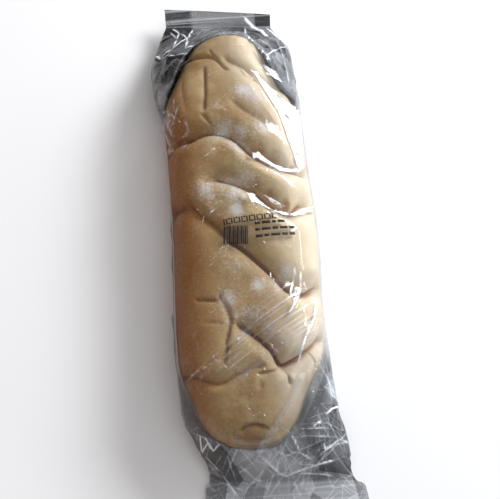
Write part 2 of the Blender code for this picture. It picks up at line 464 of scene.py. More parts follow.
FLOUR_SPOTS: tuple[Spot, ...] = (
    Spot(12, 85, 8, 0.75),
    Spot(17, 78, 6, 0.55),
    Spot(-7, 57, 7, 0.9),
    Spot(3, 55, 6, 0.5),
    Spot(17, 56, 6, 0.7),
    Spot(-9, 20, 7, 0.7),
    Spot(-3, 17, 7, 1.0),
    Spot(-21, 21, 8, 0.6),
    Spot(5, 21, 8, 0.6),
    Spot(-4, 4, 4, 1.0),
    Spot(-8, -27, 8, 0.55),
    Spot(6, -43, 4, 0.95),
    Spot(9, -40, 2.5, 0.7),
    Spot(25, -35, 6, 0.7),
    Spot(18, -42, 5, 0.65),
    Spot(-12, -50, 6, 0.7),
    Spot(-10, -59, 5, 0.6),
    Spot(-1, -62, 7, 0.8),
    Spot(26, -73, 8, 0.5),
    Spot(10, -69, 6, 0.5),
    Spot(-6, -91, 6, 0.35),
)
# Toasted patches, and painted shade on the head side of the first and second slashes.
TOAST_AND_SHADE_SPOTS: tuple[Spot, ...] = (
    Spot(0, -126, 7, 1.6),
    Spot(15, 43, 6, 0.8),
    Spot(24, 38, 6, 0.7),
    Spot(-6, -18, 15, 0.5),
    Spot(8, -56, 12, 0.4),
    Spot(-20, -30, 14, 0.4),
    Spot(8, 20, 6, 0.9),
    Spot(19, 13, 6, 0.9),
    Spot(28, 7, 5, 0.9),
    Spot(-27, 84, 8, 0.6),
    Spot(14, 84, 7, 0.3),
    Spot(14, 62, 9, 0.55),
    Spot(4, 74, 7, 0.45),
    Spot(22, -52, 10, 0.4),
    Spot(-24, 5, 14, 0.35),
    Spot(0, -104, 22, 0.45),
    Spot(4, 110, 10, 0.3),
    Spot(20, -66, 9, 0.3),
)
DARK_SPOTS: tuple[Spot, ...] = (
    Spot(-45, 118, 14, 1.1),
    Spot(-50, 106, 9, 0.6),
    Spot(-32, 142, 10, 0.7),
    Spot(8, 143, 8, 0.8),
    Spot(30, 110, 7, 0.3),
    Spot(-6, 146, 6, 0.2),
)
# Where the film shows painted light streaks, drawn tight.
TAUT_SPOTS: tuple[Spot, ...] = (
    Spot(18, -58, 16, 0.7),
    Spot(4, -66, 10, 0.3),
    Spot(-14, -84, 14, 0.6),
    Spot(28, -66, 12, 0.4),
    Spot(-36, -90, 12, 0.4),
    Spot(-24, 3, 9, 0.25),
)
HAZE_SPOTS: tuple[Spot, ...] = (
    Spot(0, -140, 9, 0.22),
    Spot(12, -146, 7, 0.16),
    Spot(-14, -134, 6, 0.14),
    Spot(41, -104, 6, 0.20),
    Spot(34, -98, 5, 0.08),
    Spot(36, -136, 8, 0.14),
    Spot(-42, -118, 7, 0.12),
    Spot(-53, 88, 6, 0.22),
    Spot(-52, 104, 6, 0.10),
    Spot(22, 124, 5, 0.10),
    Spot(29, 112, 6, 0.10),
)
LUMPS: tuple[Spot, ...] = (
    Spot(40, -34, 8, 2.0),
    Spot(-18, 63, 6, 0.8),
    Spot(8, 112, 14, 0.8),
    Spot(-32, -62, 12, 0.8),
)


def deselect_all() -> None:
    """Leaves nothing selected, because an operator acts on all that is."""
    bpy.ops.object.select_all(action="DESELECT")


def points_of(piece: Piece) -> Array:
    """The mesh's points, one row each, in mm."""
    flat = np.empty(len(piece.data.vertices) * 3)
    piece.data.vertices.foreach_get("co", flat)
    return flat.reshape(-1, 3) / MM


def place_points(piece: Piece, points: Array) -> None:
    """Moves the mesh's points to these places, in mm."""
    piece.data.vertices.foreach_set("co", (points * MM).ravel())
    piece.data.update()


def normals_of(piece: Piece) -> Array:
    """The outward direction at each of the mesh's points."""
    flat = np.empty(len(piece.data.vertices) * 3)
    piece.data.vertex_normals.foreach_get("vector", flat)
    return flat.reshape(-1, 3)


def paint(piece: Piece, name: str, values: Array) -> None:
    """Stores one number at each point, for the piece's material to read."""
    layer = piece.data.attributes.new(name, "FLOAT", "POINT")
    layer.data.foreach_set("value", np.ascontiguousarray(values, dtype=np.float32))


def finish_piece(piece: Piece) -> None:
    """Smooths the piece, rides it on the pack's body and hides the imported pack that it stands for."""
    piece.data.shade_smooth()
    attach(piece, BODY)
    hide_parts(PACK_NODE)
    log.info("%s: %d faces", piece.name, len(piece.data.polygons))


class Nodes:
    """A short hand for building one node tree."""

    def __init__(self, tree: bpy.types.NodeTree) -> None:
        """Keeps the tree.

        Args:
            tree: The node tree to build in.
        """
        self.tree = tree

    def add(self, kind: str, **settings: object) -> bpy.types.Node:
        """Adds a node of the kind, with its settings and inputs by name."""
        node = self.tree.nodes.new(kind)
        for name, value in settings.items():
            setattr(node, name, value)
        return node

    def link(self, start: Socket, end: Socket) -> None:
        """Joins two sockets."""
        self.tree.links.new(start, end)

    def math(self, operation: str, *values: object, clamp: bool = False) -> Socket:
        """Adds a Math node on sockets or numbers and gives its result."""
        node = self.add("ShaderNodeMath", operation=operation, use_clamp=clamp)
        for socket, value in zip(node.inputs, values):
            self._feed(socket, value)
        return node.outputs[0]

    def total(self, *values: object, clamp: bool = False) -> Socket:
        """Adds up sockets or numbers."""
        *rest, last = values
        found = rest[0]
        for value in rest[1:]:
            found = self.math("ADD", found, value)
        return self.math("ADD", found, last, clamp=clamp)

    def product(self, *values: object) -> Socket:
        """Multiplies sockets or numbers."""
        found = values[0]
        for value in values[1:]:
            found = self.math("MULTIPLY", found, value)
        return found

    def bump(self, height: Socket, strength: float, distance: float) -> Socket:
        """Turns a height into a normal."""
        node = self.add("ShaderNodeBump")
        self.link(height, node.inputs["Height"])
        node.inputs["Strength"].default_value = strength
        node.inputs["Distance"].default_value = distance
        return node.outputs[0]

    def ramp(
        self, value: object, low: float, high: float, start: float = 0.0, end: float = 1.0
    ) -> Socket:
        """Runs softly from start to end while the value goes from low to high."""
        node = self.add("ShaderNodeMapRange", interpolation_type="SMOOTHSTEP")
        for socket, given in zip(node.inputs, (value, low, high, start, end)):
            self._feed(socket, given)
        return node.outputs[0]

    def mix(self, share: object, one: object, other: object) -> Socket:
        """Mixes two colours by the share of the other."""
        node = self.add("ShaderNodeMix", data_type="RGBA")
        for socket, value in zip((node.inputs[0], node.inputs[6], node.inputs[7]), (share, one, other)):
            self._feed(socket, value)
        return node.outputs[2]

    def noise(self, place: Socket, scale: float, detail: float = 2.0, rough: float = 0.5) -> Socket:
        """Smooth noise at the place, from 0 to 1."""
        node = self.add("ShaderNodeTexNoise")
        self.link(place, node.inputs["Vector"])
        node.inputs["Scale"].default_value = scale
        node.inputs["Detail"].default_value = detail
        node.inputs["Roughness"].default_value = rough
        return node.outputs[0]

    def painted(self, name: str) -> Socket:
        """The number painted on the piece under the name."""
        return self.add("ShaderNodeAttribute", attribute_name=name).outputs["Fac"]

    def place(self) -> Socket:
        """The place on the piece, in metres."""
        return self.add("ShaderNodeTexCoord").outputs["Object"]

    def turned(self, place: Socket, turn: float, scale: tuple[float, float, float]) -> Socket:
        """The place turned about Z, then scaled.

        A small scale draws features out along the turned direction.

        Args:
            place: The place to turn.
            turn: Angle about Z, in degrees.
            scale: What each turned direction is multiplied by.

        Returns:
            The turned and scaled place.
        """
        node = self.add("ShaderNodeMapping", vector_type="TEXTURE")
        self.link(place, node.inputs["Vector"])
        node.inputs["Rotation"].default_value = (0.0, 0.0, math.radians(turn))
        node.inputs["Scale"].default_value = tuple(1 / size for size in scale)
        return node.outputs[0]

    def _feed(self, socket: Socket, value: object) -> None:
        """Links a socket, or sets a plain value."""
        if isinstance(value, Socket):
            self.link(value, socket)
        else:
            socket.default_value = value


def new_finish(name: str) -> tuple[bpy.types.Material, Nodes, bpy.types.Node]:
    """A new material with its node tree and its main shader."""
    material = bpy.data.materials.new(name)
    material.use_nodes = True
    return material, Nodes(material.node_tree), material.node_tree.nodes["Principled BSDF"]


def grain_group() -> bpy.types.NodeTree:
    """Fine grain that the crust and the ink share: a height and a mask of specks."""
    found = bpy.data.node_groups.get("fine_grain")
    if found:
        return found
    group = bpy.data.node_groups.new("fine_grain", "ShaderNodeTree")
    face = group.interface
    face.new_socket("Place", in_out="INPUT", socket_type="NodeSocketVector")
    face.new_socket("Grains per metre", in_out="INPUT", socket_type="NodeSocketFloat")
    face.new_socket("Height", in_out="OUTPUT", socket_type="NodeSocketFloat")
    face.new_socket("Specks", in_out="OUTPUT", socket_type="NodeSocketFloat")
    n = Nodes(group)
    ends = n.add("NodeGroupInput")
    out = n.add("NodeGroupOutput")
    coarse = n.add("ShaderNodeTexNoise")
    n.link(ends.outputs["Place"], coarse.inputs["Vector"])
    n.link(ends.outputs["Grains per metre"], coarse.inputs["Scale"])
    coarse.inputs["Detail"].default_value = 4.0
    coarse.inputs["Roughness"].default_value = 0.65
    cells = n.add("ShaderNodeTexVoronoi", feature="F1")
    n.link(ends.outputs["Place"], cells.inputs["Vector"])
    n.link(n.product(ends.outputs["Grains per metre"], 0.6), cells.inputs["Scale"])
    pits = n.product(cells.outputs["Distance"], 0.25)
    n.link(n.total(coarse.outputs[0], pits), out.inputs["Height"])
    n.link(n.ramp(coarse.outputs[0], 0.42, 0.62), out.inputs["Specks"])
    return group


@dataclass(frozen=True)
class CrustFinish:
    """Pale soft crust: mottled, browned by baking in places, dusted with flour, with painted shade in
    the slashes, beside some of them and on the left side, and painted light on the right side.
    """

    pale: Colour = (0.52, 0.385, 0.19, 1.0)
    tan: Colour = (0.38, 0.225, 0.082, 1.0)
    # The toasted colour, also used for painted shade beside the first and second slashes.
    toasted_and_shaded: Colour = (0.36, 0.20, 0.08, 1.0)
    # side: painted shade colour for the left side, away from the window lamp
    side: Colour = (0.26, 0.088, 0.014, 1.0)
    # Painted light: the paler colour for the right side, which faces the window lamp.
    lit_cream: Colour = (0.78, 0.68, 0.53, 1.0)
    # slash: painted shade colour that the fold mask mixes in along the crease lines
    slash: Colour = (0.26, 0.11, 0.045, 1.0)
    flour: Colour = (0.74, 0.71, 0.68, 1.0)
    roughness: float = 0.62
    floury_roughness: float = 0.9
    shine: float = 0.35
    mottles_per_metre: float = 34.0
    blotches_per_metre: float = 210.0
    mottle_share: float = 0.65
    unevenness: float = 0.3
    shaded_side_cover: float = 0.88
    lit_cream_cover: float = 0.85
    flour_cover: float = 0.9
    flour_break: float = 0.30
    grains_per_metre: float = 700.0
    skin_turn: float = 32.0
    skin_per_metre: tuple[float, float, float] = (120.0, 420.0, 200.0)
    bump_strength: float = 0.55
    bump_distance: float = 0.0006

    def material(self) -> bpy.types.Material:
        """Builds the crust's material."""
        material, n, shader = new_finish("crust")
        place = n.place()
        mottle = n.ramp(n.noise(place, self.mottles_per_metre, 3.0, 0.55), 0.38, 0.64)
        fine = n.ramp(n.noise(place, self.blotches_per_metre, 3.0, 0.6), 0.35, 0.68)
        blotch = n.total(n.product(mottle, self.mottle_share), n.product(fine, 1 - self.mottle_share))
        colour = n.mix(blotch, self.pale, self.tan)
        uneven = n.product(n.math("SUBTRACT", blotch, 0.5), self.unevenness)
        light_across = n.total(n.painted("light_across"), uneven)
        # Painted shade on the left side and painted light on the right side, by the painted across
        # share.
        colour = n.mix(n.ramp(light_across, -0.2, -0.95, 0.0, self.shaded_side_cover), colour, self.side)
        colour = n.mix(n.ramp(light_across, 0.05, 1.0, 0.0, self.lit_cream_cover), colour, self.lit_cream)
        toast_and_shade = n.total(n.painted("toast_and_shade"), n.product(n.math("SUBTRACT", fine, 0.5), 0.35))
        # Toasted patches, and painted shade beside the first and second slashes.
        colour = n.mix(n.ramp(toast_and_shade, 0.15, 1.25), colour, self.toasted_and_shaded)
        # Painted shade along the crease lines.
        colour = n.mix(n.ramp(n.painted("fold"), 0.1, 1.0), colour, self.slash)
        grain = n.add("ShaderNodeGroup", node_tree=grain_group())
        n.link(place, grain.inputs["Place"])
        grain.inputs["Grains per metre"].default_value = self.grains_per_metre
        specks = n.product(n.math("SUBTRACT", grain.outputs["Specks"], 0.5), self.flour_break)
        dusted = n.ramp(n.total(n.painted("flour"), specks), 0.10, 1.15, 0.0, self.flour_cover)
        n.link(n.mix(dusted, colour, self.flour), shader.inputs["Base Color"])
        rough = n.ramp(dusted, 0.0, 1.0, self.roughness, self.floury_roughness)
        n.link(rough, shader.inputs["Roughness"])
        shader.inputs["Specular IOR Level"].default_value = self.shine
        skin = n.noise(n.turned(place, self.skin_turn, self.skin_per_metre), 1.0, 4.0, 0.6)
        relief = n.total(n.product(grain.outputs["Height"], 0.5), n.product(skin, 0.7))
        n.link(n.bump(relief, self.bump_strength, self.bump_distance), shader.inputs["Normal"])
        return material


@dataclass
class Loaf:
    """The soft loaf: its smooth form, its slashes and folds, and the flour on it."""

    form: LoafForm = field(default_factory=LoafForm)
    finish: CrustFinish = field(default_factory=CrustFinish)
    segments: int = 240
    rings: int = 350
    swell: float = 0.9
    swell_size: float = 34.0
    dimple: float = 0.22
    dimple_size: float = 7.0
    top_zone: tuple[float, float] = (-12.0, 6.0)
    fold_shade_half_width: float = 1.3
    film_room: float = 0.9
    drift_reach: float = 14.0
    drift_head_width: float = 3.0
    drift_tail_width: float = 7.0
    drift_zone: tuple[float, float] = (42.0, -4.0)
    bare_line: float = 0.85
    bare_half_width: float = 1.6
    thin_flour: float = 0.16
    tail_toast: float = 0.25
    lateral_span: float = 46.0
    lateral_limit: float = 1.2
    pale_head: float = 0.3
    pale_lower_right: float = 0.2

    def build(self) -> Piece:
        """Builds the whole loaf.

        Returns:
            The finished piece.
        """
        piece = self._ball()
        unit = points_of(piece) * MM
        angle = np.arctan2(unit[:, 2], unit[:, 0])
        angle = np.where(angle < -math.pi / 2, angle + 2 * math.pi, angle)
        centre = (self.form.head_end + self.form.tail_end) / 2
        half_length = (self.form.head_end - self.form.tail_end) / 2
        y = centre + half_length * unit[:, 1]
        middle, half = self.form.section(y)
        across, up = self.form.outline(angle, half)
        place_points(piece, np.stack([middle + across, y, self.form.mid_height + up], axis=1))
        s = self.form.over_crust(angle, half)
        self._relief(piece, s, y)
        self._dust(piece, s, y)
        piece.data.materials.append(self.finish.material())
        finish_piece(piece)
        return piece

    def _ball(self) -> Piece:
        """A ball whose poles lie along Y, to be drawn out into the loaf."""
        deselect_all()
        bpy.ops.mesh.primitive_uv_sphere_add(segments=self.segments, ring_count=self.rings, radius=1.0)
        piece = bpy.context.active_object
        piece.name = piece.data.name = "loaf"
        bpy.ops.object.mode_set(mode="EDIT")
        bpy.ops.mesh.select_all(action="SELECT")
        bpy.ops.transform.rotate(value=math.pi / 2, orient_axis="X", center_override=(0, 0, 0))
        bpy.ops.object.mode_set(mode="OBJECT")
        return piece

    def _relief(self, piece: Piece, s: Array, y: Array) -> None:
        """Presses the slashes in, raises lumps and soft unevenness, and paints shade along the crease
        lines.

        Args:
            piece: The smooth loaf.
            s: Distance of each point over the crust from the top line.
            y: Place of each point along Y.
        """
        points, outward = points_of(piece), normals_of(piece)
        sunk = np.zeros_like(s)
        fold = np.zeros_like(s)
        for crease in SLASHES.values():
            reach = max(crease.head_reach, crease.tail_reach) + crease.floor
            near, distance, side, taper = crease.measure(s, y, reach)
            own_reach = np.where(side >= 0, crease.head_reach, crease.tail_reach)
            share = np.clip((distance - crease.floor) / own_reach, 0.0, 1.0)
            depth = crease.depth * taper * (1 - np.sqrt(1 - (1 - share) ** 2))
            sunk[near] = np.maximum(sunk[near], depth)
            # Painted shade along each crease line, as strong as the crease's dark share.
            off_floor = np.maximum(distance - crease.floor, 0) / self.fold_shade_half_width
            fold[near] = np.maximum(fold[near], crease.dark * taper * np.exp(-(off_floor**2)))
        top = smoothstep(*self.top_zone, points[:, 2] - self.form.mid_height)
        raised = sum(lump.reading(s, y) for lump in LUMPS)
        raised = raised + self.swell * smooth_noise(points, self.swell_size, 1) * top
        raised = raised + self.dimple * smooth_noise(points, self.dimple_size, 2)
        points = points + outward * (raised - sunk)[:, None]
        for facet in FACETS:
            over = points[:, 2] - facet.height(points[:, 0], points[:, 1]) + self.film_room
            points[:, 2] -= np.maximum(over, 0.0) * facet.cover(points[:, 0], points[:, 1]) * top
        place_points(piece, points)
        # The fold mask holds the painted shade along the crease lines.
        paint(piece, "fold", fold)

    def _dust(self, piece: Piece, s: Array, y: Array) -> None:
        """Paints where the crust is floured, where it is browned by baking or painted with shade, and
        its painted light and shade from left to right.

        Args:
            piece: The slashed loaf.
            s: Distance of each point over the crust from the top line.
            y: Place of each point along Y.
        """
        points = points_of(piece)
        patchy = 0.55 + 0.6 * smooth_noise(points, 11.0, 3) + 0.3 * smooth_noise(points, 4.0, 4)
        patchy = np.clip(patchy + 0.35, 0.15, 1.35)
        thin = self.thin_flour * smoothstep(10.0, 40.0, points[:, 2])
        paint(piece, "flour", (self._drifts(s, y) + thin) * patchy)
        toast_and_shade = np.zeros_like(s)
        for spot in TOAST_AND_SHADE_SPOTS:
            toast_and_shade = np.maximum(toast_and_shade, spot.reading(s, y))
        paint(piece, "toast_and_shade", toast_and_shade + self.tail_toast * smoothstep(-80.0, -130.0, y))
        # Painted light and shade across the loaf: shaded to the left and lit to the right, and also
        # paler towards the head and on the lower right.
        lower = smoothstep(-55.0, -75.0, y) * smoothstep(-120.0, -100.0, y)
        lower_right = lower * smoothstep(5.0, 25.0, s)
        light_across = s / self.lateral_span + self.pale_head * smoothstep(60.0, 108.0, y)
        light_across = light_across + self.pale_lower_right * lower_right
        paint(piece, "light_across", np.clip(light_across, -self.lateral_limit, self.lateral_limit))

    def _drifts(self, s: Array, y: Array) -> Array:
        """Flour in patches, and blown along the lips of the slashes but not into their lines."""
        flour = np.zeros_like(s)
        for spot in FLOUR_SPOTS:
            flour = np.maximum(flour, spot.reading(s, y))
        for crease in SLASHES.values():
            if not crease.flour:
                continue
            near, distance, side, taper = crease.measure(s, y, self.drift_reach)
            width = np.where(side >= 0, self.drift_head_width, self.drift_tail_width)
            bare = 1 - self.bare_line * np.exp(-((distance / self.bare_half_width) ** 2))
            drift = crease.flour * taper * np.exp(-((distance / width) ** 2)) * bare
            drift = drift * smoothstep(*self.drift_zone, np.abs(s[near]))
            flour[near] = np.maximum(flour[near], drift)
        return flour


@dataclass(frozen=True)
class Fold:
    """A straight fold pressed into the film: a long diamond with flat flanks, in mm."""

    x: float
    y: float
    heading: float
    length: float
    width: float
    height: float
    # shine and crest: strength and width of the painted glint along the crest
    shine: float = 0.0
    crest: float = 0.6

    def _reach(self, x: Array, y: Array) -> tuple[Array, Array]:
        """Distance of each point along and across the fold, from its middle."""
        turn = math.radians(self.heading)
        dx, dy = x - self.x, y - self.y
        along = np.abs(dx * math.cos(turn) + dy * math.sin(turn))
        return along, np.abs(dy * math.cos(turn) - dx * math.sin(turn))

    def lift(self, x: Array, y: Array) -> Array:
        """How far the fold lifts the film at each point."""
        along, across = self._reach(x, y)
        return self.height * np.maximum(0.0, 1 - along / self.length - across / self.width)

    def glint(self, x: Array, y: Array) -> Array:
        """How strong the painted glint along the fold's crest is at each point."""
        along, across = self._reach(x, y)
        sharp = np.clip(1 - across / self.crest, 0.0, 1.0)
        return self.shine * sharp * np.clip(2 - 2 * along / self.length, 0.0, 1.0)


@dataclass(frozen=True)
class Crumple:
    """A stretch of film full of folds, placed by a seeded draw."""

    x: tuple[float, float]
    y: tuple[float, float]
    count: int
    length: tuple[float, float]
    width: tuple[float, float]
    height: tuple[float, float]
    heading: float
    spread: float
    seed: int
    # shine: strength of the painted glints along the folds' crests
    shine: float = 0.0

    def folds(self) -> Iterator[Fold]:
        """Draws the folds of this stretch."""
        draw = np.random.default_rng(self.seed)
        for _ in range(self.count):
            x, y = draw.uniform(*self.x), draw.uniform(*self.y)
            size = draw.uniform() ** 1.4
            length = self.length[0] + (self.length[1] - self.length[0]) * size
            width = draw.uniform(*self.width)
            height = draw.uniform(*self.height) * draw.choice((-1.0, 1.0))
            heading = self.heading + draw.uniform(-self.spread, self.spread)
            yield Fold(x, y, heading, length, width, height, self.shine * size)


RIDGE_OVERLAP = 1.0
LOAF_ZONE = 95.0
BROAD_CREST = 0.95
FINE_CREST = 0.6


def ridge(
    start: tuple[float, float],
    end: tuple[float, float],
    width: float,
    height: float,
    shine: float = 0.8,
) -> Fold:
    """A fold from one point of the film to another, with a broader painted glint along its crest over
    the loaf.
    """
    dx, dy = end[0] - start[0], end[1] - start[1]
    x, y = (start[0] + end[0]) / 2, (start[1] + end[1]) / 2
    heading = math.degrees(math.atan2(dy, dx))
    length = math.hypot(dx, dy) / 2 + RIDGE_OVERLAP
    crest = BROAD_CREST if abs(y) < LOAF_ZONE else FINE_CREST
    return Fold(x, y, heading, length, width, height, shine, crest)


def ridges(points: Line, width: float, height: float, shine: float = 0.8) -> tuple[Fold, ...]:
    """Folds from each point of the film to the next."""
    return tuple(ridge(a, b, width, height, shine) for a, b in zip(points, points[1:]))


DRAWN_FOLDS: tuple[Fold, ...] = (
    *ridges(((16.5, -61), (23, -51), (25, -46), (26, -36)), 2.0, 0.7, 1.0),
    *ridges(((18, -50), (21, -42), (23, -33)), 2.0, 0.6, 0.8),
    *ridges(((18.5, -90), (21, -83), (25, -74), (31, -64), (34, -55), (32, -51)), 2.0, 0.7, 1.0),
    *ridges(((-43, -90), (-33, -86), (-23, -83), (-18, -79), (-6, -70)), 1.6, 0.6, 0.55),
    *ridges(((-32, -93), (-22, -87), (-12, -80)), 1.4, 0.5, 0.4),
    *ridges(((-30, -1), (-22, 4), (-13, 10)), 1.4, 0.5, 0.4),
    *ridges(((-5.8, -138), (3.5, -147), (7, -148.5)), 2.0, 1.2, 1.0),
    *ridges(((7, -148.5), (21, -145), (35.6, -142.4)), 2.0, 1.2, 1.0),
    *ridges(((-41, -122), (-41, -131), (-36.5, -126), (-34, -131), (-30.5, -128)), 1.8, 1.2, 1.0),
    *ridges(((-38, -123), (-35, -130)), 1.4, 0.8, 0.8),
    *ridges(((5, -122), (11, -126), (16, -137), (22, -141)), 1.8, 1.0, 0.7),
    *ridges(((33, -117), (37, -114), (41, -113)), 2.6, 1.4, 1.0),
    *ridges(((25, -123), (29, -121)), 1.6, 0.8, 0.9),
    *ridges(((15, -124), (35, -125)), 1.4, 0.7, 0.35),
    *ridges(((17, -128), (38, -130)), 1.4, 0.7, 0.3),
    *ridges(((-40, -132), (-31, -143), (-22, -158)), 1.8, 1.0, 0.5),
    *ridges(((15, -148), (26, -149), (34, -151)), 1.4, 0.8, 0.5),
    *ridges(((26, -140), (40, -131)), 1.8, 1.0, 0.6),
    *ridges(((24, -146), (31, -138), (30, -133)), 1.6, 0.9, 0.5),
    *ridges(((-20, -140), (-12, -148), (-8, -150)), 1.6, 0.9, 0.4),
    *ridges(((-28, -128), (-22, -150)), 1.6, 0.9, 0.4),
    *ridges(((-38.5, 152), (-34, 146), (-36, 138), (-38.5, 129)), 2.2, 1.3, 1.0),
    *ridges(((-40, 149), (-36, 139)), 2.0, 1.2, 0.8),
    *ridges(((-33, 145), (-28.6, 135.5), (-25, 147)), 2.4, 1.4, 1.0),
    *ridges(((-28.6, 136), (-30, 124), (-25, 124)), 2.0, 1.2, 0.9),
    *ridges(((-52, 128), (-47, 123), (-40, 127), (-26, 139)), 2.4, 1.4, 0.8),
    *ridges(((-51, 126), (-48, 122.5)), 3.0, 1.6, 1.0),
    *ridges(((-47, 122), (-37, 119.5), (-28, 117)), 1.8, 1.0, 0.7),
    *ridges(((-37, 105), (-26, 113), (-22, 119)), 1.2, 0.5, 0.35),
    *ridges(((11, 157), (18, 147), (25, 136)), 2.6, 1.8, 1.0),
    *ridges(((10.5, 148), (10, 134), (15.5, 119), (21.3, 111.5)), 2.0, 1.2, 0.9),
    *ridges(((20.5, 113), (22.5, 109)), 2.4, 1.4, 1.0),
    *ridges(((25.5, 147), (32, 137), (37, 129)), 1.6, 0.9, 0.8),
    *ridges(((21.5, 111.5), (30, 120), (37, 126)), 2.2, 1.2, 0.6),
    *ridges(((17, 131), (30, 112)), 1.8, 1.0, 0.3),
    *ridges(((30, 132), (33, 112), (34, 92)), 2.0, 1.0, 0.3),
    *ridges(((-45, 76), (-40, 72), (-38, 77)), 1.4, 0.8, 0.9),
    *ridges(((-34, 68), (-32, 58)), 1.4, 0.8, 0.7),
    *ridges(((-43, 74), (-36, 66)), 1.2, 0.7, 0.6),
)
CRUMPLES: tuple[Crumple, ...] = (
    Crumple((-46, 48), (-148, -124), 24, (8, 26), (6.0, 12.0), (0.2, 0.7), 90, 90, 11),
    Crumple((-46, 50), (-150, -126), 60, (4, 24), (0.9, 1.4), (0.2, 0.7), 120, 80, 21, 0.3),
    Crumple((16, 44), (-130, -92), 8, (8, 22), (5.0, 9.0), (0.15, 0.6), 100, 80, 12),
    Crumple((14, 46), (-130, -92), 20, (4, 20), (0.9, 1.5), (0.25, 0.8), 130, 60, 22, 0.25),
    Crumple((-50, -32), (-132, -104), 7, (6, 18), (5.0, 8.0), (0.15, 0.5), 110, 60, 13),
    Crumple((-50, -30), (-134, -106), 18, (4, 16), (0.9, 1.5), (0.25, 0.8), 125, 70, 23, 0.25),
    Crumple((-50, 34), (122, 150), 14, (10, 26), (6.0, 11.0), (0.3, 0.9), 80, 90, 14),
    Crumple((-52, 36), (120, 151), 26, (4, 24), (0.9, 1.6), (0.25, 0.8), 120, 80, 24, 0.12),
    Crumple((-54, -36), (94, 132), 9, (6, 20), (4.0, 8.0), (0.3, 0.9), 70, 80, 15),
    Crumple((-54, -36), (94, 132), 14, (4, 16), (0.9, 1.5), (0.25, 0.7), 120, 70, 25, 0.12),
    Crumple((20, 40), (80, 134), 14, (6, 24), (0.9, 1.6), (0.25, 0.7), 115, 35, 16, 0.12),
    Crumple((-54, -30), (42, 86), 50, (2, 7), (1.1, 2.4), (0.3, 0.9), 60, 90, 17, 0.7),
    Crumple((-58, -34), (-95, 44), 30, (12, 36), (1.6, 4.0), (0.3, 0.9), 92, 14, 18),
    Crumple((-30, 44), (-92, -40), 34, (10, 34), (0.9, 1.5), (0.12, 0.35), 33, 7, 19, 0.18),
    Crumple((-30, 24), (-30, 96), 16, (8, 26), (1.0, 2.0), (0.12, 0.3), 115, 45, 20),
)
LOWER_CRUMPLES: tuple[Crumple, ...] = (
    Crumple((-46, 48), (-149, -100), 40, (6, 24), (4.0, 8.0), (0.5, 1.4), 90, 90, 31),
    Crumple((-50, 36), (104, 150), 30, (6, 24), (4.0, 8.0), (0.5, 1.4), 80, 90, 32),
    Crumple((-30, 22), (-100, 100), 50, (10, 34), (2.0, 4.0), (0.2, 0.5), 90, 40, 33),
)


class Side(Enum):
    """The two films of the pack."""

    UPPER = "upper"
    LOWER = "lower"


